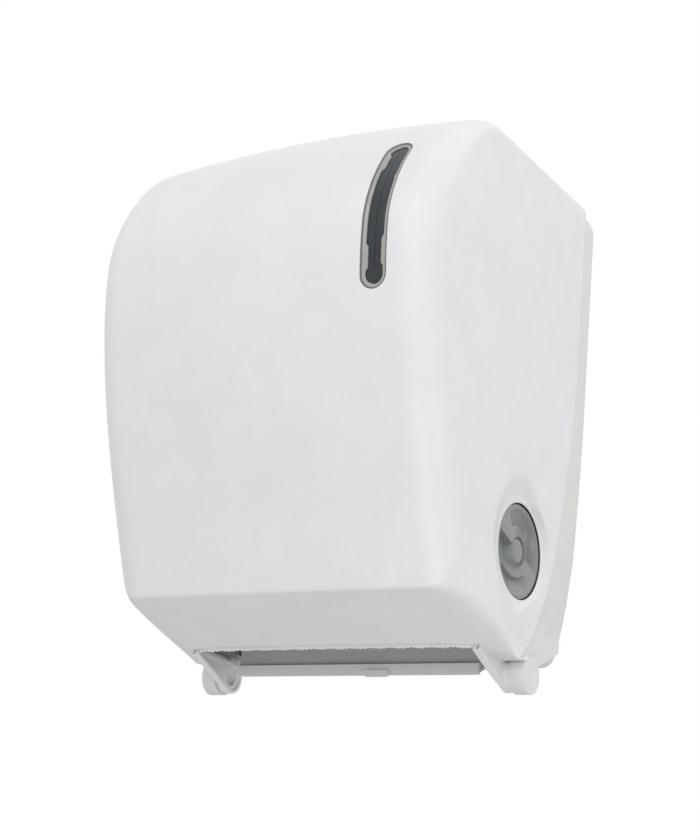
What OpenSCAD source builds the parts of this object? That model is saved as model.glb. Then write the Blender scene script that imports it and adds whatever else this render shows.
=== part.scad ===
// Autocut towel dispenser: wall housing, hinged front cover, feed drum with
// a built-in knife, pinch roller, roll holders, window, lock and side knob.
// X runs to the viewer's right, Y into the wall (the wall is y = 0), Z up.
// The origin is on the wall, at the centre of the four wall screws.

/* [Body] */
// Width across the shield front
body_w = 292; // [288:1:310]
// Depth from the wall to the most forward point of the front
body_d = 270; // [262:1:290]
// Height of the top above the wall screws' centre
top_h = 210; // [206:1:225]
// Wall thickness of the mouldings
wall = 2.6; // [2:0.1:3]

/* [Shield front] */
// Height over which the front rolls over into the top
over_h = 117; // [108:1:124]
// Depth over which it does
over_d = 94; // [86:1:102]
// Depth of the shield's bottom edge from the wall
shield_low_d = 196; // [189:1:201]
// Depth of the shield's bottom edge below the screws' centre
shield_low_h = 154; // [151:1:157]
// How far the middle of the front stands forward of its edges
crown = 2; // [1:0.5:4]
// How far the middle of the top stands above its edges
crown_top = 7.5; // [5:0.5:8]
// Edge rounding at the top of the shield
edge_r_top = 6; // [5:0.5:10]
// Edge rounding that the roll-over bends towards between front and top
edge_r_over = 24; // [20:1:28]
// Edge rounding where the front is deepest
edge_r_front = 26; // [22:1:32]
// Edge rounding at the bottom of the shield
edge_r_low = 23; // [18:1:25]
// Rounding of the shield's two lower corners, seen from the front
corner_r = 14; // [12:1:22]
// Narrowing of the sides towards the bottom
side_inset = 4.6; // [2:0.2:6]

/* [Towel exit] */
// Depth of the tear edge from the wall
tear_d = 118; // [116:1:120]
// Depth of the tear edge below the screws' centre
tear_h = 176; // [175:0.5:178]
// Rounding of the tear edge's two ends
tear_r = 43; // [34:1:46]
// Pitch of the tear teeth
tooth_pitch = 4; // [3:0.5:6]
// Depth of the housing's front lip from the wall
lip_d = 77; // [76:0.5:79]
// Height of the lip
lip_h = 8.5; // [7:0.5:9.5]

/* [Rear housing] */
// Depth of the housing at its sides
rim_d = 20; // [18:0.5:23]
// Gap between the housing and the cover
rim_gap = 0.6; // [0.5:0.1:0.9]
// Thickness of the back wall
back_t = 3; // [2.5:0.5:3.5]
// Depth of the housing's floor below the screws' centre
floor_h = 191.5; // [190.5:0.5:193]
// Rise of the housing's floor from the lip to the wall
floor_rise = 17.5; // [15:0.5:20]
// Spacing of the wall screws across
screw_dx = 170; // [150:5:180]
// Spacing of the wall screws in height
screw_dz = 130; // [110:5:130]
// Diameter of the wall screw holes
screw_hole_d = 5.5; // [4.5:0.5:6.5]

/* [Cover hinge] */
// Depth of the hinge axis from the wall
hinge_d = 60; // [59:0.5:61]
// Depth of the hinge axis below the screws' centre
hinge_h = 189.5; // [188.5:0.5:190.5]
// Radius of the housing's hinge barrels
barrel_r = 14; // [13:0.5:14.5]
// Length of a hinge barrel
barrel_t = 12; // [10:0.5:12.5]
// Radius of the eye of the cover's hinge arms
eye_r = 11; // [9.5:0.5:12]
// Thickness of the hinge arms
arm_t = 8.5; // [7:0.5:9.5]
// Diameter of the hinge pins
hinge_pin_d = 6; // [4:0.5:8]

/* [Window] */
// Distance of the window's middle from the shield's edge
window_edge = 42; // [40.5:0.5:44]
// Width of the window
window_w = 21; // [16:1:22]
// Length of the window
window_l = 123; // [90:0.5:125]
// Distance of the window's upper end below the top
window_drop = 45; // [43:0.5:60]

/* [Feed drum] */
// Width of the towel
towel_w = 200; // [196:1:206]
// Depth of the drum axis from the wall
drum_d = 85; // [84:0.5:87]
// Depth of the drum axis below the screws' centre
drum_h = 102; // [100:0.5:103]
// Radius of the drum over its grip bands
drum_r = 44; // [41:0.5:45]
// Diameter of the drum axle
axle_d = 10; // [8:0.5:12]
// Diameter of the feed knob
knob_d = 71; // [66:1:73]
// Diameter of the knob's hole in the cover
knob_hole_d = 75; // [74.5:0.5:78]
// Diameter of the cap in the middle of the knob
knob_cap_d = 20; // [16:1:24]

/* [Pinch roller] */
// Diameter of the pinch roller
pinch_d = 20; // [17:0.5:21]
// Diameter of its shaft
pinch_shaft_d = 6; // [5:0.5:7]
// Wire diameter of the yoke springs
wire_d = 0.9; // [0.7:0.1:1.1]
// Outer diameter of the yoke springs
spring_d = 5.7; // [5:0.1:5.9]
// Curls in each yoke spring
spring_curls = 10; // [7:1:12]

/* [Roll holders] */
// Depth of the roll's axis from the wall
roll_d = 137; // [130:1:142]
// Height of the roll's axis above the screws' centre
roll_h = 95; // [90:1:98]
// Diameter of the holders' plugs for the roll's core
plug_d = 36; // [30:1:38]
// Diameter of the holders' pins
hub_pin_d = 8; // [6:0.5:10]

/* [Lock] */
// Depth of the lock's axis from the wall
lock_d = 45; // [43:0.5:47]
// Diameter of the lock barrel
lock_barrel_d = 18; // [15:0.5:19]
// Reach of the lock cam
cam_reach = 24; // [21:0.5:25]

/* [Hidden] */
$fn = 48;
// Radial play of a turning fit, and the gap kept between other moving pieces
run_fit = 0.05;
clear = 0.6;
half_w = body_w / 2;

// Small helpers

function mix(a, b, t) = a + (b - a) * t;
function smooth(t) = let (u = max(0, min(1, t))) u * u * (3 - 2 * u);
function unit(v) = v / norm(v);
function along(angle) = [cos(angle), sin(angle)];
function cubic(p, t) = pow(1 - t, 3) * p[0] + 3 * pow(1 - t, 2) * t * p[1]
    + 3 * (1 - t) * t * t * p[2] + pow(t, 3) * p[3];
function quadratic(a, b, c, t) = pow(1 - t, 2) * a + 2 * t * (1 - t) * b + t * t * c;

// An outline drawn as [y, z], stretched between two places on X
module along_x(x0, x1) {
    translate([x0, 0, 0]) rotate([90, 0, 90]) linear_extrude(x1 - x0) children();
}
// An outline drawn as [x, z], stretched between two places on Y
module along_y(y0, y1) {
    translate([0, y1, 0]) rotate([90, 0, 0]) linear_extrude(y1 - y0) children();
}
module rod_x(d, x0, x1, at) {
    translate([x0, at[0], at[1]]) rotate([0, 90, 0]) cylinder(d = d, h = x1 - x0);
}
module rod_y(d, y0, y1, at) {
    translate([at[0], y1, at[1]]) rotate([90, 0, 0]) cylinder(d = d, h = y1 - y0);
}
module box(low, high) {
    translate(low) cube(high - low);
}
// The same piece on the left and on the right
module both_sides() {
    children();
    mirror([1, 0, 0]) children();
}

// Shape of the cover: a row of stations from the tear edge along the underside,
// up the front and over the top, each with a section that turns into the sides

band_steps = 3;
front_steps = 9;
arc_steps = 9;
top_steps = 3;
edge_steps = 6;
side_steps = 5;
middle_steps = 4;
// Length over which the shield's bottom edge turns
crisp = 1.5;
// Height where the front is deepest
deep_z = top_h - over_h;
top_front = [-body_d + over_d, top_h];
tear_at = [-tear_d, -tear_h];
shield_low = [-shield_low_d, -shield_low_h];
deep_at = [-body_d, deep_z];
// Handles of the front's curve at its bottom and where it is deepest
lean_low = unit([-0.42, 1]) * 71;
lean_high = [0, 81];
// Share of the roll-over's height and depth that its curve's handles take
over_ease = 0.43;
// How far a side curve runs straight before it bends to the rear edge
side_lead = 55;
// Widening of the sides from the front to the wall
side_draft = 3;
// The rear edge is straight above rim_bend_z, and comes forward down to rim_low_z
rim_bend_z = 50;
rim_low_z = -floor_h + 27.5;
// Heights of the rear edge where the underside, front, roll-over and top end
rear_z = [rim_low_z + 4, rim_low_z + 18, deep_z - 51, deep_z + 30, top_h - edge_r_top - 14];
rim_forward = [18, 13];
inset_from_z = 20;
inset_over = 150;
// How far the tear edge's ends stay inside the shield's width
tear_inset = 1.2;
// How soon the underside's edge rounding turns into the shield's, and how late its width does
round_ease = 0.6;
width_ease = 9;

function band_at(t) = mix(tear_at, shield_low, t);
function front_at(t) = cubic([shield_low, shield_low + lean_low, deep_at - lean_high, deep_at], t);
function arc_at(t) = cubic([
    deep_at, deep_at + [0, over_h * over_ease], top_front - [over_d * over_ease, 0], top_front], t);
function top_at(t) = mix(top_front, [-rim_d, top_h], t);
function shield_half(z) =
    let (up = min(corner_r, z + shield_low_h))
    half_w - corner_r + sqrt(corner_r * corner_r - pow(corner_r - up, 2));
function inset(z) = z > inset_from_z ? 0 : side_inset * pow((inset_from_z - z) / inset_over, 1.5);
function side_x(p) = half_w - inset(p[1]) + side_draft * (p[0] + body_d) / body_d;
function rim_y(z) =
    let (t = max(0, rim_bend_z - z) / (rim_bend_z - rim_low_z))
    -rim_d - rim_forward[0] * t - rim_forward[1] * pow(t, 4);
function rim_at(z) = [rim_y(z), z];

function band_half(t) = mix(half_w - tear_inset, half_w - corner_r + 5, pow(t, width_ease));

// A station: middle point, edge radius, half width, direction in, rear point, crown
function band_station(t) = [
    band_at(t), mix(tear_r, edge_r_low, pow(t, round_ease)), band_half(t), mix(-9, 0, t),
    rim_at(mix(rear_z[0], rear_z[1], t)), crown];
function front_station(t) = let (p = front_at(t)) [
    p, mix(edge_r_low, edge_r_front, smooth(t)), shield_half(p[1]), 0,
    rim_at(mix(rear_z[1], rear_z[2], t)), crown];
function arc_station(t) = let (p = arc_at(t)) [
    p, quadratic(edge_r_front, edge_r_over, edge_r_top, t), side_x(p), -90 * t,
    rim_at(mix(rear_z[2], rear_z[3], t)), mix(crown, crown_top, t)];
function top_station(t) = let (p = top_at(t)) [
    p, edge_r_top, side_x(p), -90, rim_at(mix(rear_z[3], rear_z[4], t)), crown_top];

function stations() = let (
        band_l = norm(shield_low - tear_at),
        front_t = crisp / (3 * norm(lean_low))
    ) concat(
        [for (i = [0:band_steps]) band_station(i / band_steps * (1 - crisp / band_l))],
        [for (i = [0:front_steps - 1]) front_station(mix(front_t, 1, pow(i / front_steps, 1.3)))],
        [for (i = [0:arc_steps]) arc_station(i / arc_steps)],
        [for (i = [1:top_steps]) top_station(i / top_steps)]
    );

// Inward direction of the profile at station i
function inward(s, i) =
    let (
        last = len(s) - 1,
        d = unit(s[min(i + 1, last)][0] - s[max(i - 1, 0)][0])
    )
    [d[1], -d[0]];

// Right half of a section, moved in by depth: points [x, y, z] from the middle to the rear
function half_section(st, n, depth) =
    let (
        p = st[0] + n * depth,
        r = max(st[1] - depth, 3),
        half = st[2] - depth,
        d = along(st[3]),
        bend = p + d * (st[5] + r),
        lead = bend + d * min(side_lead, norm(st[4] - bend) * 0.6)
    )
    concat(
        [for (i = [0:middle_steps - 1])
            let (x = (half - r) * i / middle_steps, q = p + d * st[5] * pow(i / middle_steps, 2))
            [x, q[0], q[1]]],
        [for (i = [0:edge_steps])
            let (a = 90 * i / edge_steps, q = p + d * (st[5] + r * (1 - cos(a))))
            [half - r + r * sin(a), q[0], q[1]]],
        [for (i = [1:side_steps])
            let (t = i / side_steps, q = quadratic(bend, lead, st[4], t))
            [mix(half, side_x(q) - depth, smooth(t / 0.4)), q[0], q[1]]]
    );
function whole_row(half) = concat(
    [for (i = [len(half) - 1:-1:1]) [-half[i][0], half[i][1], half[i][2]]], half);
function reversed(list) = [for (i = [len(list) - 1:-1:0]) list[i]];

// A sheet between two depths below the outer skin, closed all round
module skin_sheet(rows_out, rows_in) {
    rings = [for (i = [0:len(rows_out) - 1]) concat(rows_out[i], reversed(rows_in[i]))];
    m = len(rings[0]);
    n = len(rings);
    k = len(rows_out[0]);
    points = [for (ring = rings) each ring];
    walls = [for (i = [0:n - 2], j = [0:m - 1])
        let (a = i * m + j, b = i * m + (j + 1) % m, c = b + m, d = a + m)
        each [[a, b, c], [a, c, d]]];
    first = [for (j = [0:k - 2])
        let (a = j, b = j + 1, c = m - 2 - j, d = m - 1 - j)
        each [[a, c, b], [a, d, c]]];
    start = (n - 1) * m;
    last = [for (f = first) [start + f[0], start + f[2], start + f[1]]];
    polyhedron(points, concat(walls, first, last), convexity = 8);
}

cover_stations = stations();
function cover_rows(depth) = [for (i = [0:len(cover_stations) - 1])
    whole_row(half_section(cover_stations[i], inward(cover_stations, i), depth))];

// Knob and drum places that the cover and the frames share

drum_at = [-drum_d, -drum_h];
// Inner side of the cover over the part that passes the knob when it opens
knob_sweep_z = -drum_h - knob_d / 2 - 12;
knob_face_x = side_x([-drum_d, knob_sweep_z]) - wall - clear;
frame_t = 3;
drum_half = towel_w / 2 + 4;
frame_in = drum_half + 8;
frame_out = frame_in + frame_t;
knob_back_x = frame_out + 3;

window_x = half_w - window_edge;
module window_outline(grow) {
    r = window_w / 2 + grow;
    high = top_h - window_drop - window_w / 2;
    low = high - window_l + window_w;
    translate([window_x, low]) circle(r);
    translate([window_x, high]) circle(r);
    translate([window_x - r, low]) square([2 * r, high - low]);
}

lock_at = [0, -lock_d];
sleeve_d = lock_barrel_d + 5;
sleeve_flange_t = 1.4;

module front_cover() {
    color("white") difference() {
        skin_sheet(cover_rows(0), cover_rows(wall));
        through_front() window_outline(0);
        rod_x(knob_hole_d, half_w - 20, half_w + 5, drum_at);
        translate([lock_at[0], lock_at[1], top_h - wall - 2])
            cylinder(d = sleeve_d + 0.4, h = wall + 4);
        both_sides() rod_x(2 * (barrel_r + clear), arm_in, half_w + 5, hinge_at);
    }
}

// Window: a lens that fills the slot, and a frame behind the wall that holds it

lens_t = 2;
// Gap round the lens in its slot, gap of the frame behind the wall, and the frame's grip on the lens
lens_gap = 0.3;
frame_gap = 0.1;
lens_grip = 0.5;
lens_flange = 3.5;
lens_sink = 0.6;
lens_points = 6;

function lens_row(st, n, depth) =
    let (
        p = st[0] + n * depth,
        d = along(st[3]),
        flat = st[2] - st[1],
        reach = window_w / 2 + lens_flange + 1
    )
    [for (i = [0:lens_points])
        let (
            x = window_x + mix(-reach, reach, i / lens_points),
            over = max(0, x - flat),
            fall = st[5] * pow(min(x, flat) / flat, 2) + st[1] - sqrt(pow(st[1], 2) - over * over),
            q = p + d * fall
        )
        [x, q[0], q[1]]];
lens_stations = concat(
    [for (i = [0:7]) front_station(mix(0.68, 0.98, i / 7))],
    [for (i = [0:9]) arc_station(i / 9 * 0.6)]);
function lens_rows(depth) = [for (i = [0:len(lens_stations) - 1])
    lens_row(lens_stations[i], inward(lens_stations, i), depth)];

module through_front() {
    along_y(-body_d - 1, -body_d + over_d) children();
}
module window_lens() {
    color("dimgray") intersection() {
        skin_sheet(lens_rows(lens_sink), lens_rows(wall + frame_gap + lens_t));
        through_front() window_outline(-lens_gap);
    }
}
module window_frame() {
    color("darkgray") difference() {
        intersection() {
            skin_sheet(lens_rows(wall + frame_gap), lens_rows(wall + frame_gap + lens_t));
            through_front() window_outline(lens_flange);
        }
        through_front() window_outline(-lens_gap - lens_grip);
    }
}

// Height of the underside's inner face at depth y, where the section lies back by lag
function underside_z(y, lag) =
    let (slope = (shield_low_h - tear_h) / (shield_low_d - tear_d))
    -tear_h + slope * (y - lag + tear_d) + wall * sqrt(1 + slope * slope);

// Tear strip: a toothed bar behind the tear edge, on a flange along the underside

strip_t = 1.5;
strip_up = 7;
strip_down = 2.6;
strip_flange = 12;
// The straight flange meets the bowed underside where this much of the bow is reached
strip_lag = crown * 0.7;
tooth_depth = 1.6;
strip_half = half_w - tear_inset - tear_r - 2;

module tear_strip() {
    teeth = floor(2 * strip_half / tooth_pitch);
    low = -tear_h - strip_down;
    tips = [for (i = [0:teeth - 1])
        let (x = -strip_half + (i + 0.5) * 2 * strip_half / teeth, w = strip_half / teeth)
        each [[x - w, low + tooth_depth], [x, low]]];
    y = -tear_d + wall + crown;
    front = -tear_d - strip_flange;
    seat = underside_z(-tear_d, strip_lag);
    seat_front = underside_z(front, strip_lag);
    color("whitesmoke") {
        along_y(y, y + strip_t) polygon(concat(
            tips,
            [[strip_half, low + tooth_depth], [strip_half, low + strip_up + tooth_depth],
             [-strip_half, low + strip_up + tooth_depth]]));
        along_x(-strip_half, strip_half) polygon([
            [front, seat_front], [-tear_d, seat], [y + strip_t, seat],
            [y + strip_t, seat + strip_t], [-tear_d, seat + strip_t], [front, seat_front + strip_t]]);
    }
}

// Cover hinge

hinge_at = [-hinge_d, -hinge_h];
barrel_out = half_w - 2.5;
barrel_in = barrel_out - barrel_t;
arm_out = barrel_in - 0.5;
arm_in = arm_out - arm_t;

// Half the tear edge's straight part
tear_half = half_w - tear_inset - tear_r;
// The underside lies back this far where the arms pass, and the arms' feet sink into it
arm_lag = crown + tear_r - sqrt(pow(tear_r, 2) - pow(arm_out - tear_half, 2));
arm_sink = 1;

// Ear: the cover's rounded corner carried on below the tear edge, down to the eye
ear_t = 3;
ear_steps = 5;
ear_lap = 1.5;
// How far round the corner the ear starts
ear_in = 6;
function tear_corner(x) =
    [x, -tear_d + crown + tear_r - sqrt(pow(tear_r, 2) - pow(x - tear_half, 2)), -tear_h];
ear_top = [for (i = [0:ear_steps])
    tear_corner(mix(tear_half + ear_in, arm_out, i / ear_steps)) + [0, 0, ear_lap]];
ear_foot = hinge_at + eye_r * along(244);
ear_low = [for (i = [0:ear_steps]) [mix(arm_in, arm_out, i / ear_steps), ear_foot[0], ear_foot[1]]];
module ear() {
    back = [0, ear_t, 0];
    skin_sheet([ear_top, ear_low], [[for (p = ear_top) p + back], [for (p = ear_low) p + back]]);
}

module hinge_arm() {
    front = -tear_d - 32;
    exit = -tear_d + 10;
    color("white") difference() {
        union() {
            ear();
            along_x(arm_in, arm_out) union() {
                translate(hinge_at) circle(eye_r);
                polygon([
                    [front, underside_z(front, arm_lag) - arm_sink],
                    [exit, underside_z(exit, arm_lag) - arm_sink],
                    [exit + 6, underside_z(exit, arm_lag) - 4],
                    hinge_at + eye_r * along(-105),
                    hinge_at + eye_r * along(62),
                    [-tear_d + 18, -tear_h + 25],
                    [front, underside_z(front, arm_lag) + 13]]);
            }
        }
        rod_x(hinge_pin_d + 2 * run_fit, arm_in - 1, arm_out + 1, hinge_at);
        // Channel in the inner face
        along_x(arm_in - 1, arm_in + arm_t * 0.45) polygon([
            [-tear_d + 17, -tear_h + 3],
            hinge_at + 13.5 * along(155),
            hinge_at + 13.5 * along(95),
            [-tear_d + 22, -tear_h + 19]]);
    }
}
module hinge_arm_right() hinge_arm();
module hinge_arm_left() mirror([1, 0, 0]) hinge_arm();

module hinge_pins() {
    color("silver") both_sides()
        rod_x(hinge_pin_d, arm_in + 1, barrel_out - 2, hinge_at);
}

// Rear housing

// Bottom edge at the wall, and the low corners' inset from the side by height above it
wall_low_z = -floor_h + floor_rise;
low_corner = [[70, 1.2], [51, 2.2], [37, 3.6], [22, 5.6], [10, 7.4], [4, 10], [1, 14.5], [0, 22]];
top_corner_r = 16;
// Outline seen from the front, moved in by depth
function housing_outline(depth) =
    let (
        top = top_h - rim_gap,
        corner_top = top - crown_top - top_corner_r,
        flat = side_x([0, top]) - rim_gap - top_corner_r,
        side_z = [60, inset_from_z, -20, -60, -90],
        half = concat(
            [for (i = [0.5:1:3.5]) [flat * i / 4, top - depth - crown_top * pow(i / 4, 2)]],
            [for (i = [6:-1:0])
                let (a = 90 * i / 6, r = top_corner_r - depth)
                [flat + r * cos(a), corner_top + r * sin(a)]],
            [for (z = side_z) [side_x([0, z]) - rim_gap - depth, z]],
            [for (c = low_corner)
                let (z = wall_low_z + c[0])
                [side_x([0, z]) - rim_gap - c[1] - depth, z + depth * (1 - c[0] / low_corner[0][0])]]))
    concat(half, [for (p = reversed(half)) [-p[0], p[1]]]);

rim_steps = 10;
// The flange at the wall, set in from the rest of the rim
flange_d = 5;
flange_step = 1;
floor_d = hinge_d - barrel_r - 2;
function housing_depth_outline() = concat(
    [[0, top_h + 1], [-rim_d + rim_gap, top_h + 1]],
    [for (i = [0:rim_steps])
        let (z = mix(rim_bend_z, rim_low_z, i / rim_steps)) [rim_y(z) + rim_gap, z]],
    [[-floor_d, -floor_h + 16], [-floor_d, -floor_h - 1], [0, -floor_h - 1]]);

// Underside of the floor, which slopes up from the lip
function floor_z(y) = -floor_h + floor_rise * min(1, (y + lip_d) / (lip_d - floor_d));
lip_half = arm_in - 14;
lip_t = 2.6;
lip_top = -floor_h + lip_h;
web_out = side_x([-hinge_d, -hinge_h]) - wall - 1.2;

module barrel() {
    rod_x(2 * barrel_r, barrel_in, barrel_out, hinge_at);
    // Web from the barrel back to the housing
    along_x(barrel_in, web_out) polygon([
        hinge_at + barrel_r * along(80),
        hinge_at + barrel_r * along(-60),
        [-floor_d, -floor_h + 9],
        [-back_t / 2, wall_low_z + 12],
        [-back_t / 2, -floor_h + 54],
        [-floor_d + 12, -floor_h + 42]]);
}

floor_y = [-lip_d, -floor_d, -floor_d + 4];
module rear_housing() {
    color("whitesmoke") difference() {
        union() {
            difference() {
                intersection() {
                    union() {
                        along_y(-body_d, -flange_d) polygon(housing_outline(0));
                        along_y(-flange_d - 1, 0) polygon(housing_outline(flange_step));
                    }
                    along_x(-half_w - 5, half_w + 5) polygon(housing_depth_outline());
                }
                along_y(-body_d, -back_t) polygon(housing_outline(wall));
            }
            along_x(-lip_half, lip_half) polygon(concat(
                [for (y = floor_y) [y, floor_z(y)]],
                [for (y = reversed(floor_y)) [y, floor_z(y) + wall]]));
            box([-lip_half, -lip_d, -floor_h], [lip_half, -lip_d + lip_t, lip_top]);
            both_sides() barrel();
        }
        for (x = [-1, 1], z = [-1, 1])
            rod_y(screw_hole_d, -back_t - 1, 1, [x * screw_dx / 2, z * screw_dz / 2]);
        both_sides() rod_x(hinge_pin_d, barrel_in - 1, barrel_out - 2, hinge_at);
    }
}

// Towel exit

plug_x = 22.5;
module lip_plug() {
    plug_w = 22;
    plug_h = 5.4;
    z = -floor_h + 1.2;
    color("whitesmoke") along_y(-lip_d - 1.6, -lip_d) {
        for (s = [-1, 1]) translate([plug_x + s * (plug_w - plug_h) / 2, z]) circle(d = plug_h);
        translate([plug_x - (plug_w - plug_h) / 2, z - plug_h / 2]) square([plug_w - plug_h, plug_h]);
    }
}

chute_t = 2;
chute_h = 37;
chute_run = 24;
chute_rise = 11;
chute_half = frame_in - 3;
module chute_plate() {
    y = -lip_d + lip_t + 2;
    low = -floor_h + wall;
    panel = [48, 12];
    color("gainsboro") difference() {
        along_x(-chute_half, chute_half) polygon([
            [y, floor_z(y) + wall], [y + chute_t, floor_z(y + chute_t) + wall],
            [y + chute_t, low + chute_h],
            [y + chute_run, low + chute_h + chute_rise],
            [y + chute_run - chute_t / 2, low + chute_h + chute_rise + chute_t],
            [y, low + chute_h + chute_t / 2]]);
        // Recessed panel in the middle
        box([-panel[0] / 2, y - 1, lip_top], [panel[0] / 2, y + 0.6, lip_top + panel[1]]);
        // Ends clear of the lip's corners
        both_sides() box([lip_half, y - 1, low - 1], [chute_half + 1, y + chute_t + 1, lip_top + 23]);
    }
}

// Side frames that carry the drum, the yoke and the springs

pinch_dir = along(210);
pinch_at = drum_at + pinch_dir * (drum_r + pinch_d / 2 + 0.4);
yoke_pivot = pinch_at + [-16, 33];
yoke_pin_d = 5;
spring_z = yoke_pivot[1] + 24;
spring_front_y = yoke_pivot[0] - 31;
post_d = 5;
bush_d = axle_d + 6;
bush_flange_d = bush_d + 6;
frame_foot = 14;
frame_low = -drum_h - 48;
frame_high = -drum_h + 57;
frame_screw_z = [frame_high - 15, frame_low + 14];
// Where the frame's lower front corner lies from the drum, and how far it reaches behind it
frame_corner = [-28, -38];
frame_behind = 25;
screw_head_d = 7.5;

module side_frame() {
    color("lightgray") difference() {
        union() {
            along_x(frame_in, frame_out) polygon([
                [-back_t, frame_low], [-back_t, frame_high], [-drum_d + frame_behind, frame_high],
                [yoke_pivot[0], spring_z + 10],
                [spring_front_y - 7, spring_z + 7],
                [spring_front_y - 7, spring_z - 7],
                [yoke_pivot[0] - 9, yoke_pivot[1] + 6],
                [yoke_pivot[0] - 9, yoke_pivot[1] - 10],
                drum_at + frame_corner, [-drum_d + frame_behind, frame_low]]);
            // Foot on the back wall, and the post for the spring
            box([frame_in - frame_foot, -back_t - frame_t, frame_low], [frame_in, -back_t, frame_high]);
            rod_x(post_d, frame_in - 6.2, frame_in, [spring_front_y, spring_z]);
        }
        rod_x(bush_d, frame_in - 1, frame_out + 1, drum_at);
        rod_x(yoke_pin_d, frame_in - 1, frame_out + 1, yoke_pivot);
        for (z = frame_screw_z)
            rod_y(4, -back_t - frame_t - 1, -back_t + 1, [frame_in - frame_foot / 2, z]);
    }
}
module side_frame_right() side_frame();
module side_frame_left() mirror([1, 0, 0]) side_frame();

module frame_screws() {
    y = -back_t - frame_t;
    color("silver") both_sides() for (z = frame_screw_z) difference() {
        union() {
            rod_y(3.6, y, -back_t, [frame_in - frame_foot / 2, z]);
            rod_y(screw_head_d, y - 2.4, y, [frame_in - frame_foot / 2, z]);
        }
        translate([frame_in - frame_foot / 2, y - 2, z]) {
            cube([4.5, 2, 1], center = true);
            cube([1, 2, 4.5], center = true);
        }
    }
}

module drum_bush() {
    color("dimgray") difference() {
        union() {
            rod_x(bush_d, frame_in, frame_out, drum_at);
            rod_x(bush_flange_d, frame_in - 1.5, frame_in, drum_at);
        }
        rod_x(axle_d + 2 * run_fit, frame_in - 3, frame_out + 1, drum_at);
    }
}
module drum_bush_right() drum_bush();
module drum_bush_left() mirror([1, 0, 0]) drum_bush();

tie_d = 8;
tie_out = 21;
tie_drop = 17;
tie_at = [-back_t - tie_out, frame_high - tie_drop];
module tie_bar() {
    color("silver") rod_x(tie_d, -frame_in, frame_in, tie_at);
}

// Feed drum: two half shells, an axle, grip bands and the knife slot between the halves

knife_angle = 250;
shell_r = drum_r - 1;
shell_t = 3;
slot_half = 3;
band_count = 5;
band_w = 14;

// A half of the drum as seen along X, on the given side of the knife's plane
module half_disc(r_out, r_in, turn) {
    difference() {
        circle(r_out);
        circle(r_in);
        rotate(turn) translate([-2 * r_out, -4 * r_out + slot_half]) square([4 * r_out, 4 * r_out]);
    }
}
module drum_shell(turn) {
    color("gray") translate([0, drum_at[0], drum_at[1]]) {
        along_x(-drum_half, drum_half) half_disc(shell_r, shell_r - shell_t, turn);
        both_sides() along_x(drum_half - 4, drum_half) half_disc(shell_r - shell_t, axle_d / 2, turn);
    }
}
module drum_shell_front() drum_shell(knife_angle - 180);
module drum_shell_rear() drum_shell(knife_angle);

module grip_bands() {
    margin = 14;
    color("dimgray") translate([0, drum_at[0], drum_at[1]])
        for (i = [0:band_count - 1], side = [0, 180])
            let (x = mix(-drum_half + 14, drum_half - 14, i / (band_count - 1)))
            along_x(x - band_w / 2, x + band_w / 2) difference() {
                circle(drum_r);
                circle(shell_r);
                rotate(knife_angle + side)
                    translate([-2 * drum_r, -4 * drum_r + margin]) square([4 * drum_r, 4 * drum_r]);
            }
}

module drum_axle() {
    color("silver") rod_x(axle_d, -frame_out - axle_ring_t - 3, knob_back_x + axle_seat, drum_at);
}

axle_ring_t = 3;
module axle_ring() {
    color("dimgray") difference() {
        rod_x(axle_d + 8, -frame_out - 1 - axle_ring_t, -frame_out - 1, drum_at);
        rod_x(axle_d, -frame_out - 10, -frame_out, drum_at);
    }
}

// Knife: a bar that slides out between the drum's halves

knife_out = along(knife_angle);
blade_t = 1;
module in_knife_plane() {
    translate([0, drum_at[0], drum_at[1]]) rotate([knife_angle, 0, 0]) children();
}
module knife_bar() {
    color("darkgray") in_knife_plane() difference() {
        translate([-drum_half + 8, axle_d / 2 + 2, -2]) cube([2 * drum_half - 16, 14, 4]);
        translate([-drum_half + 7, axle_d / 2 + 8, -blade_t / 2]) cube([2 * drum_half - 14, 20, blade_t]);
    }
}
module knife_blade() {
    teeth = floor(towel_w / tooth_pitch);
    low = axle_d / 2 + 8;
    high = shell_r - 3;
    color("silver") in_knife_plane() translate([0, 0, -blade_t / 2]) linear_extrude(blade_t)
        polygon(concat(
            [[-towel_w / 2, low], [towel_w / 2, low]],
            [for (i = [teeth - 1:-1:0])
                each [[mix(-towel_w / 2, towel_w / 2, (i + 1) / teeth), high - 2.5],
                      [mix(-towel_w / 2, towel_w / 2, (i + 0.5) / teeth), high]]],
            [[-towel_w / 2, high - 2.5]]));
}

// Feed knob with two spiral ramps round a middle cap

ramp_steps = 10;
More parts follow.
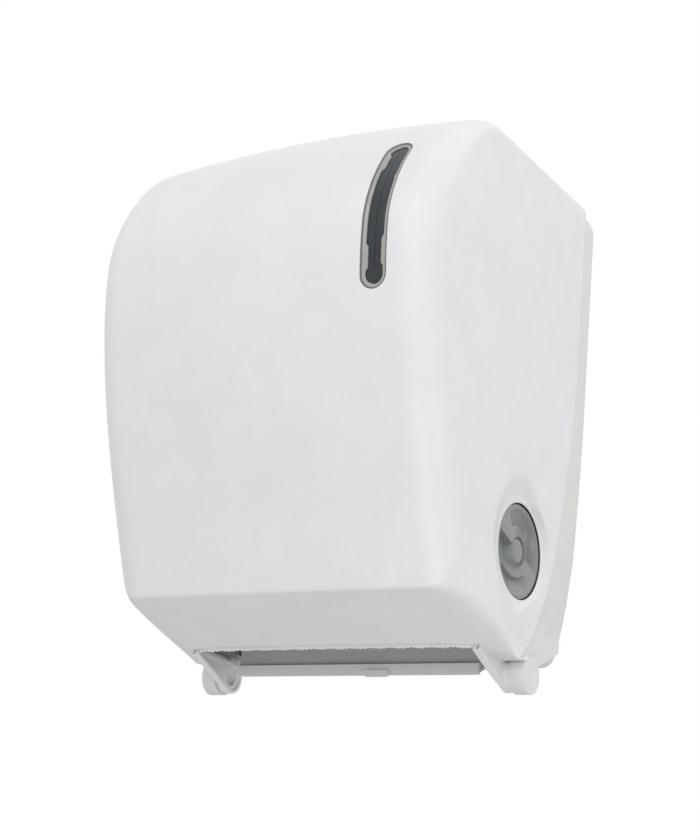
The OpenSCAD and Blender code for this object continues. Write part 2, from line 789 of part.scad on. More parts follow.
// Where the first ramp's low end is, and how far round each ramp goes
ramp_from = 164;
ramp_turn = 160;
knob_rim = 3.5;
knob_screw_d = 4;
knob_depth = knob_face_x - knob_back_x;
axle_seat = knob_depth * 0.41;
cap_seat = knob_depth * 0.23;
cap_t = cap_seat * 0.52;
ramp_depth = knob_depth * 0.27;
hub_r = axle_d / 2 + 5;
module feed_knob() {
    r_in = knob_cap_d / 2 + 2.5;
    r_out = knob_d / 2 - knob_rim;
    floor_x = knob_face_x - ramp_depth - 2;
    rim_back = knob_back_x + knob_depth * 0.27;
    color("gray") translate([0, drum_at[0], drum_at[1]]) difference() {
        union() {
            along_x(rim_back, knob_face_x) circle(d = knob_d);
            along_x(knob_back_x, knob_face_x - 1) circle(hub_r);
        }
        // Hollow back
        along_x(knob_back_x, floor_x - 2) difference() {
            circle(r_out);
            circle(hub_r);
        }
        // Two ramps, each deep at a step and rising from there
        for (side = [0, 180], i = [0:ramp_steps - 1])
            let (step = ramp_turn / ramp_steps, a = ramp_from + side + i * step)
            along_x(knob_face_x - ramp_depth * (1 - i / ramp_steps), knob_face_x + 1)
                intersection() {
                    difference() {
                        circle(r_out);
                        circle(r_in);
                    }
                    polygon([[0, 0], 60 * along(a), 60 * along(a + step)]);
                }
        // Seat of the cap, screw hole and axle bore
        along_x(knob_face_x - cap_seat, knob_face_x + 1) circle(d = knob_cap_d);
        along_x(knob_back_x, knob_face_x) circle(d = knob_screw_d);
        along_x(knob_back_x - 1, knob_back_x + axle_seat) circle(d = axle_d);
    }
}
module knob_cap() {
    color("gray") difference() {
        rod_x(knob_cap_d, knob_face_x - 0.2 - cap_t, knob_face_x - 0.2, drum_at);
        rod_x(knob_cap_d - 5, knob_face_x - 0.2 - cap_t / 4, knob_face_x, drum_at);
    }
}
module knob_screw() {
    color("silver") {
        rod_x(knob_screw_d, knob_back_x + axle_seat, knob_face_x - 0.5 - cap_t, drum_at);
        rod_x(knob_screw_d * 1.9, knob_face_x - cap_seat, knob_face_x - 0.2 - cap_t, drum_at);
    }
}

// Pinch roller on its sprung yoke

yoke_out = frame_in - 6;
yoke_t = 4;
yoke_in = yoke_out - yoke_t;
tail_half = 4;
tail_up = 27;
yoke_eye_r = 7;
yoke_half = 6.5;
yoke_front = 9;
pinch_half = yoke_in - 3;
module pinch_yoke() {
    color("lightgray") difference() {
        union() {
            both_sides() {
                along_x(yoke_in, yoke_out) union() {
                    translate(pinch_at) circle(yoke_eye_r);
                    translate(yoke_pivot) circle(yoke_eye_r);
                    polygon([
                        pinch_at + [-yoke_half, -2], pinch_at + [yoke_half, 2],
                        yoke_pivot + [yoke_half, 2], yoke_pivot + [tail_half, tail_up],
                        yoke_pivot + [-tail_half, tail_up], yoke_pivot + [-yoke_front, -2]]);
                }
                // Tail tab that the spring pulls
                box([yoke_out, yoke_pivot[0] - tail_half, spring_z - 3],
                    [frame_in - 1, yoke_pivot[0] + tail_half, spring_z + 3]);
            }
            // Bar that joins the two arms
            box([-yoke_in, yoke_pivot[0] - yoke_front, yoke_pivot[1] - 12],
                [yoke_in, yoke_pivot[0] - 5.5, yoke_pivot[1] + 3]);
            both_sides() box(
                [yoke_in, yoke_pivot[0] - yoke_front, yoke_pivot[1] - 12],
                [yoke_out, yoke_pivot[0] - 3, yoke_pivot[1] + 3]);
        }
        rod_x(yoke_pin_d + 2 * run_fit, -frame_in, frame_in, yoke_pivot);
        rod_x(pinch_shaft_d + 2 * run_fit, -frame_in, frame_in, pinch_at);
    }
}
module yoke_pins() {
    color("silver") both_sides() rod_x(yoke_pin_d, yoke_in, frame_out, yoke_pivot);
}
module pinch_shaft() {
    color("silver") rod_x(pinch_shaft_d, -yoke_out - 1.5, yoke_out + 1.5, pinch_at);
}
module pinch_sleeve() {
    color("dimgray") difference() {
        rod_x(pinch_d, -pinch_half, pinch_half, pinch_at);
        rod_x(pinch_shaft_d, -pinch_half - 1, pinch_half + 1, pinch_at);
    }
}

// Yoke springs: each is one wound tube between the post and the tail tab

curl_rings = 8;
wire_sides = 6;
spring_r = (spring_d - wire_d) / 2;
spring_y0 = spring_front_y + post_d / 2 - wire_d / 2;
spring_y1 = yoke_pivot[0] - tail_half - run_fit;
spring_path = let (
        n = spring_curls * curl_rings,
        lead = wire_d
    ) concat(
        [[spring_r, 0, spring_y0]],
        [for (i = [0:n])
            let (a = 360 * i / curl_rings)
            [spring_r * cos(a), spring_r * sin(a), mix(spring_y0 + lead, spring_y1 - lead, i / n)]],
        [[spring_r, 0, spring_y1]]);
function wire_ring(path, i) =
    let (
        t = unit(path[min(i + 1, len(path) - 1)] - path[max(i - 1, 0)]),
        side = unit(cross(t, [-path[i][1], path[i][0], 0.2])),
        up = cross(side, t)
    )
    [for (j = [0:wire_sides - 1])
        path[i] + wire_d / 2 * (side * cos(360 * j / wire_sides) + up * sin(360 * j / wire_sides))];
spring_gap = min([for (i = [0:len(spring_path) - 1], j = [i + curl_rings / 2:1:len(spring_path) - 1])
    norm(spring_path[i] - spring_path[j])]) - wire_d;
echo(least_gap_between_spring_curls = spring_gap);

module wound_wire(path) {
    n = len(path);
    m = wire_sides;
    points = [for (i = [0:n - 1]) each wire_ring(path, i)];
    walls = [for (i = [0:n - 2], j = [0:m - 1])
        let (a = i * m + j, b = i * m + (j + 1) % m)
        each [[a, b + m, b], [a, a + m, b + m]]];
    ends = [for (j = [1:m - 2]) each [
        [0, j, j + 1],
        [(n - 1) * m, (n - 1) * m + j + 1, (n - 1) * m + j]]];
    polyhedron(points, concat(walls, ends), convexity = 10);
}
module yoke_spring() {
    color("silver") translate([(yoke_out + frame_in) / 2 - 0.2, 0, spring_z])
        rotate([-90, 0, 0]) wound_wire(spring_path);
}
module yoke_spring_right() yoke_spring();
module yoke_spring_left() mirror([1, 0, 0]) yoke_spring();

// Roll holders: a fixed arm on the left, and one on the right that swings out

roll_at = [-roll_d, roll_h];
holder_in = towel_w / 2 + 12;
holder_t = 4;
holder_out = holder_in + holder_t;
holder_pivot = [holder_in + holder_t / 2, -16];
holder_eye_d = 12;
holder_pin_d = 5;
holder_half_h = 20;

module holder_plate(rear_y) {
    along_x(holder_in, holder_out) union() {
        translate(roll_at) circle(17);
        polygon([
            [rear_y, roll_h - holder_half_h], [rear_y, roll_h + holder_half_h],
            roll_at + 17 * along(85), roll_at + 17 * along(-85)]);
    }
    // Stiffening rib along the outer face
    along_x(holder_out, holder_out + 2.5) polygon([
        [rear_y, roll_h - 2], [rear_y, roll_h + 2], roll_at + [14, 2], roll_at + [14, -2]]);
}
module roll_arm_left() {
    color("white") mirror([1, 0, 0]) difference() {
        union() {
            holder_plate(-back_t);
            box([holder_in - 14, -back_t - 4, roll_h - holder_half_h],
                [holder_in, -back_t, roll_h + holder_half_h]);
        }
        rod_x(hub_pin_d, holder_in - 1, holder_out + 4, roll_at);
        for (s = [-1, 1])
            rod_y(4, -back_t - 5, -back_t + 1, [holder_in - 7, roll_h + s * 11]);
    }
}
module roll_arm_right() {
    color("white") difference() {
        union() {
            holder_plate(holder_pivot[1]);
            translate([holder_pivot[0], holder_pivot[1], roll_h - holder_half_h])
                cylinder(d = holder_eye_d, h = 2 * holder_half_h);
        }
        rod_x(hub_pin_d, holder_in - 1, holder_out + 4, roll_at);
        translate([holder_pivot[0], holder_pivot[1], roll_h - holder_half_h - 1])
            cylinder(d = holder_pin_d + 2 * run_fit, h = 2 * holder_half_h + 2);
    }
}
bracket_ear_t = 5;
module holder_bracket() {
    z0 = roll_h - holder_half_h - clear - bracket_ear_t;
    z1 = roll_h + holder_half_h + clear;
    color("whitesmoke") difference() {
        union() {
            for (z = [z0, z1]) {
                translate([holder_pivot[0], holder_pivot[1], z])
                    cylinder(d = holder_eye_d, h = bracket_ear_t);
                box([holder_pivot[0] - holder_eye_d / 2, holder_pivot[1], z],
                    [holder_pivot[0] + holder_eye_d / 2, -back_t, z + bracket_ear_t]);
            }
            box([holder_pivot[0] - 20, -back_t - 3, z0],
                [holder_pivot[0] + holder_eye_d / 2, -back_t, z1 + bracket_ear_t]);
        }
        translate([holder_pivot[0], holder_pivot[1], z0 - 1])
            cylinder(d = holder_pin_d, h = z1 - z0 + bracket_ear_t + 2);
        for (s = [-1, 1])
            rod_y(4, -back_t - 4, -back_t + 1, [holder_pivot[0] - 13, roll_h + s * 11]);
    }
}
module holder_pin() {
    color("silver") translate([holder_pivot[0], holder_pivot[1], roll_h - holder_half_h - 6])
        cylinder(d = holder_pin_d, h = 2 * holder_half_h + 12);
}
module holder_screw(x, y) {
    for (s = [-1, 1]) difference() {
        union() {
            rod_y(3.6, y, -back_t, [x, roll_h + s * 11]);
            rod_y(screw_head_d, y - 2.2, y, [x, roll_h + s * 11]);
        }
        translate([x, y - 2, roll_h + s * 11]) {
            cube([4.2, 2, 1], center = true);
            cube([1, 2, 4.2], center = true);
        }
    }
}
module holder_screws() {
    color("silver") {
        holder_screw(-holder_in + 7, -back_t - 4);
        holder_screw(holder_pivot[0] - 13, -back_t - 3);
    }
}

// Hubs that carry the roll's core
hub_tip_x = towel_w / 2 - 6;
hub_flange_x = holder_in - 4;
module roll_hub() {
    color("lightgray") translate([0, roll_at[0], roll_at[1]]) rotate([0, 90, 0])
        rotate_extrude() polygon([
            [hub_pin_d / 2 + run_fit, hub_tip_x], [plug_d / 2 - 3.5, hub_tip_x],
            [plug_d / 2, hub_tip_x + 4], [plug_d / 2, hub_flange_x],
            [plug_d / 2 + 7, hub_flange_x], [plug_d / 2 + 7, hub_flange_x + 2.5],
            [hub_pin_d / 2 + run_fit, hub_flange_x + 2.5]]);
}
module roll_hub_right() roll_hub();
module roll_hub_left() mirror([1, 0, 0]) roll_hub();
module hub_pin() {
    color("silver") rod_x(hub_pin_d, hub_tip_x + 1, holder_out, roll_at);
}
module hub_pin_right() hub_pin();
module hub_pin_left() mirror([1, 0, 0]) hub_pin();

// Lock in the cover's top, and its keeper on the housing

cam_z = top_h - 28;
cam_t = 3;
cam_w = 12;
module lock_sleeve() {
    color("silver") translate([lock_at[0], lock_at[1], 0]) difference() {
        union() {
            translate([0, 0, cam_z + cam_t + 2]) cylinder(d = sleeve_d, h = top_h - cam_z - cam_t - 1);
            translate([0, 0, top_h + run_fit]) cylinder(d = sleeve_d + 4, h = sleeve_flange_t);
        }
        translate([0, 0, cam_z]) cylinder(d = lock_barrel_d + 2 * run_fit, h = 40);
    }
}
module lock_barrel() {
    color("darkgray") translate([lock_at[0], lock_at[1], 0]) difference() {
        translate([0, 0, cam_z + cam_t]) cylinder(d = lock_barrel_d, h = top_h + 1 - cam_z - cam_t);
        translate([-4, -1, top_h - 5]) cube([8, 2, 8]);
    }
}
module lock_cam() {
    color("silver") translate([lock_at[0], lock_at[1], cam_z]) {
        cylinder(d = cam_w, h = cam_t);
        translate([-cam_w / 2, 0, 0]) cube([cam_w, cam_reach, cam_t]);
    }
}
keeper_t = 3;
keeper_w = 20;
keeper_foot = 14;
keeper_x = sleeve_d / 2 + 1.5;
keeper_y = -lock_d - cam_w / 2 - clear - keeper_t;
module lock_keeper() {
    far_x = keeper_x + keeper_w;
    plate_z = cam_z - 2 * keeper_t;
    color("lightgray") {
        box([keeper_x, keeper_y, plate_z], [far_x, -back_t, plate_z + keeper_t]);
        box([keeper_x, keeper_y, plate_z], [far_x, keeper_y + keeper_t, cam_z + cam_t + 1]);
        box([keeper_x, -back_t - keeper_t, plate_z - keeper_foot], [far_x, -back_t, plate_z + keeper_t]);
    }
}

rear_housing();
lip_plug();
chute_plate();
hinge_pins();
side_frame_left();
side_frame_right();
frame_screws();
tie_bar();
drum_bush_left();
drum_bush_right();
yoke_pins();
yoke_spring_left();
yoke_spring_right();
roll_arm_left();
hub_pin_left();
holder_bracket();
holder_pin();
holder_screws();
lock_keeper();
front_cover();
hinge_arm_left();
hinge_arm_right();
tear_strip();
window_lens();
window_frame();
lock_sleeve();
lock_barrel();
lock_cam();
drum_axle();
drum_shell_front();
drum_shell_rear();
grip_bands();
axle_ring();
feed_knob();
knob_cap();
knob_screw();
knife_bar();
knife_blade();
pinch_yoke();
pinch_shaft();
pinch_sleeve();
roll_arm_right();
hub_pin_right();
roll_hub_left();
roll_hub_right();
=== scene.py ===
"""Looks of the autocut towel dispenser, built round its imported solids.

Sizes are in millimetres, as in the solids. Meshes are made in metres, in the solids' own frame:
X to the viewer's right, Y into the wall, Z up, with the origin at the middle of the wall screws.
"""
import math
from collections import namedtuple

import bmesh
import bpy
import numpy as np
from mathutils import Matrix, Vector


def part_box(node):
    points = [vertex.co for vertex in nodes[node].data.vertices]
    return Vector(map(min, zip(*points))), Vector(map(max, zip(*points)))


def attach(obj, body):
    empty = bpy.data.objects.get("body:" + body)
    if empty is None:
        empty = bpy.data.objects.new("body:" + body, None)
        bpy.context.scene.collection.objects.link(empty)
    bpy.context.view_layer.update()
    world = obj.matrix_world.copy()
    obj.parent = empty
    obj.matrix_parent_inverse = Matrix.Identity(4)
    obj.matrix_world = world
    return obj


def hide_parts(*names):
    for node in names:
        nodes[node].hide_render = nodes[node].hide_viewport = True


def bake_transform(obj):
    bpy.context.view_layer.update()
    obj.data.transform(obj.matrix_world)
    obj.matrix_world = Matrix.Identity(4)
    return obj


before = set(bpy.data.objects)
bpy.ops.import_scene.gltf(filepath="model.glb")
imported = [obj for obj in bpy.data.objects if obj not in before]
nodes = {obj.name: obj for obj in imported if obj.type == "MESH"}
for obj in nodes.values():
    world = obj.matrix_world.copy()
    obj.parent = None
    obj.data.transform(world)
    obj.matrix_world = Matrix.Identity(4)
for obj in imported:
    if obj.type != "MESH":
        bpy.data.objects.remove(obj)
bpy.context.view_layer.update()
scene = bpy.context.scene

MM = 0.001

# Camera of the photograph, in metres and degrees
PHOTO_LONG_SIDE = 840
FOCAL_PIXELS = 1769.7
SENSOR = 36.0
CAMERA_AT = Vector((0.71008, -1.2279, -0.41029))
CAMERA_AZIMUTH = 32.5
CAMERA_UP = 17.36
CAMERA_ROLL = 5.36

# Sizes of the cover
BODY_W = 292.0
BODY_D = 270.0
TOP_H = 210.0
WALL = 2.6
OVER_H = 117.0
OVER_D = 94.0
OVER_EASE = 0.43
SHIELD_LOW = np.array([-196.0, -154.0])
TEAR_AT = np.array([-118.0, -176.0])
CROWN = 2.0
CROWN_TOP = 7.5
EDGE_R_TOP = 6.0
EDGE_R_OVER = 24.0
EDGE_R_FRONT = 26.4
TEAR_TURN = -9.0
TEAR_OUT = 1.0
OUT_RUN = 0.4
# Rounded corners of the underside, across and back, at the tear edge and at the shield
TEAR_CORNER = np.array([44.0, 34.0])
SHIELD_CORNER = np.array([26.1, 39.5])
CORNER_EASE = 0.46
CREASE_TURN = (45.0, 27.0)
AHEAD_GAIN = 0.98
AHEAD_POWER = 0.62
SIDE_INSET = 4.6
SIDE_DRAFT = 3.0
INSET_FROM_Z = 20.0
INSET_OVER = 150.0
INSET_POWER = 1.5
INSET_BACK = 150.0
INSET_RUN = 90.0
RIM_D = 20.0
RIM_BEND_Z = 50.0
RIM_LOW_Z = -164.0
RIM_FORWARD = (18.0, 13.0)
RIM_POWER = 4
SIDE_LEAD = 55.0
SIDE_LEAD_SHARE = 0.6
HALF_W = BODY_W / 2
DEEP_Z = TOP_H - OVER_H
DEEP_AT = np.array([-BODY_D, DEEP_Z])
TOP_FRONT = np.array([-BODY_D + OVER_D, TOP_H])
# Leads of the front's curve, up from the shield's bottom edge and down from its deepest point
LEAN_SLOPE = 0.42
LEAN_LENGTH = 71.0
LEAN_LOW = np.array([-LEAN_SLOPE, 1.0]) / math.hypot(LEAN_SLOPE, 1.0) * LEAN_LENGTH
LEAN_HIGH = np.array([0.0, 81.0])
# Heights of the rear edge that go with the ends of the underside, the front, the roll-over and the top
REAR_Z = (RIM_LOW_Z + 4, RIM_LOW_Z + 18, DEEP_Z - 51, DEEP_Z + 30, TOP_H - EDGE_R_TOP - 14)

# Places that the cover shares with other pieces, as [y, z]
DRUM_AT = np.array([-85.0, -102.0])
HINGE_AT = np.array([-60.0, -189.5])
KNOB_HOLE_D = 75.0
KNOB_FACE_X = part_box("feed_knob")[1].x / MM
KNOB_BACK_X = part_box("feed_knob")[0].x / MM
LIP_IN_R = 35.9
BARREL_CUT_R = 16.2
# Curve of the cover's rear edge down to the barrel, and a height below it, to cut along
CORNER_CUT = [np.array([-33.5, -92.0]), np.array([-52.0, -166.0]), np.array([-81.0, -182.5])]
CORNER_STEPS = 16
CORNER_LOW = -205.0
LOCK_Y = -45.0
LOCK_HOLE_D = 23.4
LOCK_STEPS = 64
# How far the cutters reach beyond the cover's skin, and how deep they go in
CUT_BESIDE = 10.0
CUT_BEYOND = 5.0
LOCK_CUT_IN = 12.0
KNOB_CUT_IN = 20.0
CORNER_CUT_IN = 24.0

# Limits for small helpers
HALVINGS = 40
SMOOTH_ANGLE = 32
WELD_DIST = 1e-7
DISC_STEPS = 128


# Small helpers

def mix(a, b, t):
    return a + (b - a) * t


def smooth(t):
    u = min(1.0, max(0.0, t))
    return u * u * (3 - 2 * u)


def along(degrees):
    return np.array([math.cos(math.radians(degrees)), math.sin(math.radians(degrees))])


def turns_round(steps):
    """Directions round a full circle."""
    return [along(360 * i / steps) for i in range(steps)]


def unit(v):
    return v / np.linalg.norm(v)


def quadratic(a, b, c, t):
    return (1 - t) ** 2 * a + 2 * t * (1 - t) * b + t * t * c


def cubic(a, b, c, d, t):
    return (1 - t) ** 3 * a + 3 * (1 - t) ** 2 * t * b + 3 * (1 - t) * t * t * c + t ** 3 * d


def shares(count):
    """Shares from 0 to 1 in count steps."""
    return [i / count for i in range(count + 1)]


def highest(holds, low, high):
    """The value between low and high up to which a test holds, found by halving."""
    for _ in range(HALVINGS):
        middle = (low + high) / 2
        if holds(middle):
            low = middle
        else:
            high = middle
    return low


# Pieces from points

def linked(name, data):
    """A new object in the scene."""
    made = bpy.data.objects.new(name, data)
    scene.collection.objects.link(made)
    return made


def clean_mesh(name, points, faces, weld):
    """A mesh from points in millimetres, with its faces turned outwards."""
    mesh = bpy.data.meshes.new(name)
    mesh.from_pydata([Vector(p) * MM for p in points], [], faces)
    work = bmesh.new()
    work.from_mesh(mesh)
    if weld:
        bmesh.ops.remove_doubles(work, verts=work.verts, dist=WELD_DIST)
    bmesh.ops.recalc_face_normals(work, faces=work.faces)
    work.to_mesh(mesh)
    work.free()
    return mesh


def add_piece(name, points, faces, body, material, slot, angle=SMOOTH_ANGLE):
    """A new piece, smooth up to an angle, riding on a body if one is given."""
    piece = linked(name, clean_mesh(name, points, faces, weld=True))
    piece.data.materials.append(material)
    smooth_by_angle(piece, angle)
    if body:
        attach(piece, body)
    return piece


def add_cover_piece(name, mesh, angle=SMOOTH_ANGLE):
    """A white piece of the cover from its points and faces."""
    return add_piece(name, *mesh, "cover", WHITE, "cover_white", angle)


def smooth_by_angle(piece, angle):
    piece.data.shade_smooth()
    piece.data.set_sharp_from_angle(angle=math.radians(angle))


def flat(rows):
    return [p for row in rows for p in row]


def grid_faces(rows, columns, start=0, closed=False):
    """Quads between rows of points that follow each other, each row a ring if closed."""
    faces = []
    for i in range(rows - 1):
        for j in range(columns if closed else columns - 1):
            a = start + i * columns + j
            b = start + i * columns + (j + 1) % columns
            faces.append((a, b, b + columns, a + columns))
    return faces


def ring_rows(rows):
    """Points and faces of closed rings that follow each other and meet again, like a hoop's skin."""
    count = len(rows[0])
    faces = grid_faces(len(rows), count, closed=True)
    last = (len(rows) - 1) * count
    faces += [(last + j, last + (j + 1) % count, (j + 1) % count, j) for j in range(count)]
    return flat(rows), faces


def tube(rows):
    """Points and faces of closed rings that follow each other, with a flat end on each side."""
    count = len(rows[0])
    points = flat(rows)
    last = len(points) - 1
    ends = [tuple(range(count)), tuple(range(last, last - count, -1))]
    return points, grid_faces(len(rows), count, closed=True) + ends


def prism(outline, low, high):
    """Points and faces of a block between two copies of an outline, which low and high place in space."""
    count = len(outline)
    points = [low(p) for p in outline] + [high(p) for p in outline]
    faces = [tuple(range(count)), tuple(range(2 * count - 1, count - 1, -1))]
    faces += [(j, (j + 1) % count, count + (j + 1) % count, count + j) for j in range(count)]
    return points, faces


def x_prism(outline, x0, x1):
    return prism([np.array(p) for p in outline], lambda p: (x0, *p), lambda p: (x1, *p))


def disc_x(radius, x0, x1, at):
    """A closed cylinder along X."""
    return x_prism([at + radius * turn for turn in turns_round(DISC_STEPS)], x0, x1)


def lathe_x(profile, at, steps=96):
    """A ring round an axis along X from pairs of x and radius."""
    turns = turns_round(steps)
    return ring_rows([[(x, *(at + r * turn)) for turn in turns] for x, r in profile])


def mirrored(mesh, side):
    """Points and faces with the points' x taken to a side."""
    points, faces = mesh
    return [(side * p[0], p[1], p[2]) for p in points], faces


def joined(meshes):
    """One list of points and of faces from several meshes."""
    points, faces = [], []
    for more, sides in meshes:
        faces += [tuple(len(points) + k for k in face) for face in sides]
        points += more
    return points, faces


def applied(piece):
    """Takes the piece's modifiers into its mesh."""
    bpy.context.view_layer.update()
    graph = bpy.context.evaluated_depsgraph_get()
    mesh = bpy.data.meshes.new_from_object(piece.evaluated_get(graph))
    piece.modifiers.clear()
    piece.data = mesh


def cut(piece, cutters):
    """Cuts closed meshes, given as (points, faces) in millimetres, out of a piece."""
    tools = []
    for points, faces in cutters:
        tool = linked("cutter", clean_mesh("cutter", points, faces, weld=False))
        change = piece.modifiers.new("cut", "BOOLEAN")
        change.operation = "DIFFERENCE"
        change.solver = "EXACT"
        change.object = tool
        tools.append(tool)
    applied(piece)
    for tool in tools:
        bpy.data.objects.remove(tool)


# Materials

def new_material(name):
    material = bpy.data.materials.new(name)
    material.use_nodes = True
    tree = material.node_tree
    shader = tree.nodes["Principled BSDF"]
    return material, tree, shader


def node(tree, kind, **inputs):
    made = tree.nodes.new(kind)
    for key, value in inputs.items():
        made.inputs[key.replace("_", " ")].default_value = value
    return made


def place(tree):
    return tree.nodes.new("ShaderNodeTexCoord").outputs["Object"]


def noise(tree, scale, detail=2.0, roughness=0.5):
    made = node(tree, "ShaderNodeTexNoise", Scale=scale, Detail=detail, Roughness=roughness)
    tree.links.new(place(tree), made.inputs["Vector"])
    return made.outputs["Fac"]


def ramp(tree, value, stops):
    made = tree.nodes.new("ShaderNodeValToRGB")
    elements = made.color_ramp.elements
    while len(elements) < len(stops):
        elements.new(0.5)
    for element, (position, colour) in zip(elements, stops):
        element.position = position
        element.color = (*colour, 1.0)
    tree.links.new(value, made.inputs["Fac"])
    return made.outputs["Color"]


def spread(tree, value, low, high, start=0.3, end=0.7):
    """Takes a value from between start and end, where most of a noise lies, to between low and high."""
    made = node(tree, "ShaderNodeMapRange", From_Min=start, From_Max=end, To_Min=low, To_Max=high)
    tree.links.new(value, made.inputs["Value"])
    return made.outputs["Result"]


def tint(tree, shader, value, stops):
    tree.links.new(ramp(tree, value, stops), shader.inputs["Base Color"])


def roughen(tree, shader, value, low, high):
    tree.links.new(spread(tree, value, low, high), shader.inputs["Roughness"])


def bump(tree, shader, heights):
    """Chained bumps, each a (height, strength, distance in metres)."""
    normal = None
    for height, strength, distance in heights:
        made = node(tree, "ShaderNodeBump", Strength=strength, Distance=distance)
        tree.links.new(height, made.inputs["Height"])
        if normal:
            tree.links.new(normal, made.inputs["Normal"])
        normal = made.outputs["Normal"]
    tree.links.new(normal, shader.inputs["Normal"])


def shade(colour, factor):
    return tuple(min(1.0, c * factor) for c in colour)


def moulded_plastic(name, colour, rough=0.4, vary=0.02, grain=0.12):
    """Injection moulded plastic: fine spark-eroded grain, faint clouding and uneven gloss."""
    material, tree, shader = new_material(name)
    clouds = noise(tree, 18.0, detail=4.0, roughness=0.6)
    tint(tree, shader, clouds, [(0.35, shade(colour, 1 - vary)), (0.65, shade(colour, 1 + vary))])
    roughen(tree, shader, noise(tree, 60.0, detail=3.0), rough - 0.05, rough + 0.05)
    bump(tree, shader, [
        (noise(tree, 9.0, detail=1.0), 0.05, 0.002),
        (noise(tree, 1600.0), grain, 0.00006)])
    return material


def brushed_metal(name, colour, rough=0.28):
    """Drawn steel: fine lines along X and a faint stain."""
    material, tree, shader = new_material(name)
    stretch = node(tree, "ShaderNodeMapping", Scale=(60.0, 2400.0, 2400.0))
    tree.links.new(place(tree), stretch.inputs["Vector"])
    lines = node(tree, "ShaderNodeTexNoise", Scale=1.0, Detail=3.0)
    tree.links.new(stretch.outputs["Vector"], lines.inputs["Vector"])
    stain = noise(tree, 90.0, detail=4.0)
    tint(tree, shader, stain, [(0.3, shade(colour, 0.9)), (0.7, colour)])
    shader.inputs["Metallic"].default_value = 1.0
    roughen(tree, shader, lines.outputs["Fac"], rough - 0.08, rough + 0.1)
    bump(tree, shader, [(lines.outputs["Fac"], 0.15, 0.00004)])
    return material


def plated_metal(name, colour):
    """Bright plating over a turned surface."""
    material, tree, shader = new_material(name)
    haze = noise(tree, 140.0, detail=4.0)
    tint(tree, shader, haze, [(0.3, shade(colour, 0.92)), (0.7, colour)])
    shader.inputs["Metallic"].default_value = 1.0
    roughen(tree, shader, haze, 0.12, 0.26)
    bump(tree, shader, [(noise(tree, 900.0), 0.06, 0.00004)])
    return material


def ground_rubber(name, colour):
    """Ground rubber: matt, speckled and slightly dusty."""
    material, tree, shader = new_material(name)
    dust = noise(tree, 420.0, detail=5.0, roughness=0.7)
    tint(tree, shader, dust, [(0.35, colour), (0.75, shade(colour, 1.7))])
    roughen(tree, shader, dust, 0.72, 0.9)
    shader.inputs["Specular IOR Level"].default_value = 0.3
    bump(tree, shader, [(noise(tree, 1300.0, detail=3.0), 0.45, 0.00012)])
    return material


def smoked_pane(name, colour):
    """Polished smoked plastic over a dark inside."""
    material, tree, shader = new_material(name)
    depth = noise(tree, 26.0)
    tint(tree, shader, depth, [(0.3, shade(colour, 0.86)), (0.7, shade(colour, 1.14))])
    roughen(tree, shader, noise(tree, 220.0, detail=3.0), 0.16, 0.26)
    shader.inputs["Specular IOR Level"].default_value = 0.35
    shader.inputs["Coat Weight"].default_value = 0.12
    shader.inputs["Coat Roughness"].default_value = 0.06
    bump(tree, shader, [(noise(tree, 40.0), 0.05, 0.0006)])
    return material


WHITE = moulded_plastic("cover_white", (0.80, 0.81, 0.825), rough=0.42)
OFF_WHITE = moulded_plastic("housing_white", (0.74, 0.755, 0.735), rough=0.45)
CHUTE = moulded_plastic("chute_grey", (0.60, 0.585, 0.56), rough=0.5)
# Frame grey also colours the housing's cheeks beside the arms, where it is painted shade of the gap.
FRAME_GREY = moulded_plastic("frame_grey", (0.50, 0.52, 0.54), rough=0.5, grain=0.2)
DRUM_GREY = moulded_plastic("drum_grey", (0.13, 0.14, 0.15), rough=0.42, vary=0.05)
KNOB_GREY = moulded_plastic("knob_grey", (0.25, 0.265, 0.263), rough=0.34, vary=0.04)
BUSH_BLACK = moulded_plastic("bush_black", (0.035, 0.035, 0.037), rough=0.35, vary=0.06)
LENS_BORDER = moulded_plastic("lens_border", (0.39, 0.385, 0.365), rough=0.3, vary=0.05)
LENS_EDGE = moulded_plastic("lens_edge", (0.16, 0.15, 0.135), rough=0.35, vary=0.05)
LENS_PANE = smoked_pane("lens_pane", (0.022, 0.030, 0.034))
STEEL = brushed_metal("drawn_steel", (0.62, 0.62, 0.63))
PLATE = plated_metal("lock_plate", (0.72, 0.72, 0.74))
RUBBER = ground_rubber("ground_rubber", (0.05, 0.05, 0.054))


# Shape of the cover, from the tear edge along the underside, up the front and over the top

# A section runs across the middle and round the edge to a crease, then back along the side
Station = namedtuple("Station", "point turn rear_z crown edge_r corner out ahead crease",
                     defaults=(0.0, 0.0, 0.0))

BAND_STEPS = 18
FILLET_STEPS = 6
FRONT_STEPS = 56
FRONT_EASE = 1.5
ARC_STEPS = 46
TOP_STEPS = 14
MIDDLE_STEPS = 30
EDGE_STEPS = 16
SIDE_STEPS = 38
SIDE_EASE = 1.6
FINE_STEPS = 60
# Length on each side of the shield's bottom edge over which it turns, and of the crease
CRISP = 2.2
BLEND = 1.6
BLEND_MOST = 0.4
# Rounded rim of a wall: how far it stands out, and the shares of the wall's depth that it passes
RIM_ROUND = 0.5
RIM_DEPTHS = (0.12, 0.5, 0.88)
# Rounding of the corner between the underside and the sides: its reach up the front, how often and by
# how much it is eased, how fast it starts and where it ends along the underside, and its steps
# along the side
RELAX_H = 45.0
RELAX_ROUNDS = 40
RELAX_PACE = 0.5
RELAX_START = 5
RELAX_END = (0.6, 0.4)
RELAX_IN = 6
RELAX_HOLD = 14
RELAX_OUT = 12
INSIDE = np.array([0.0, -100.0, 0.0])
SHORTEST = 1e-9
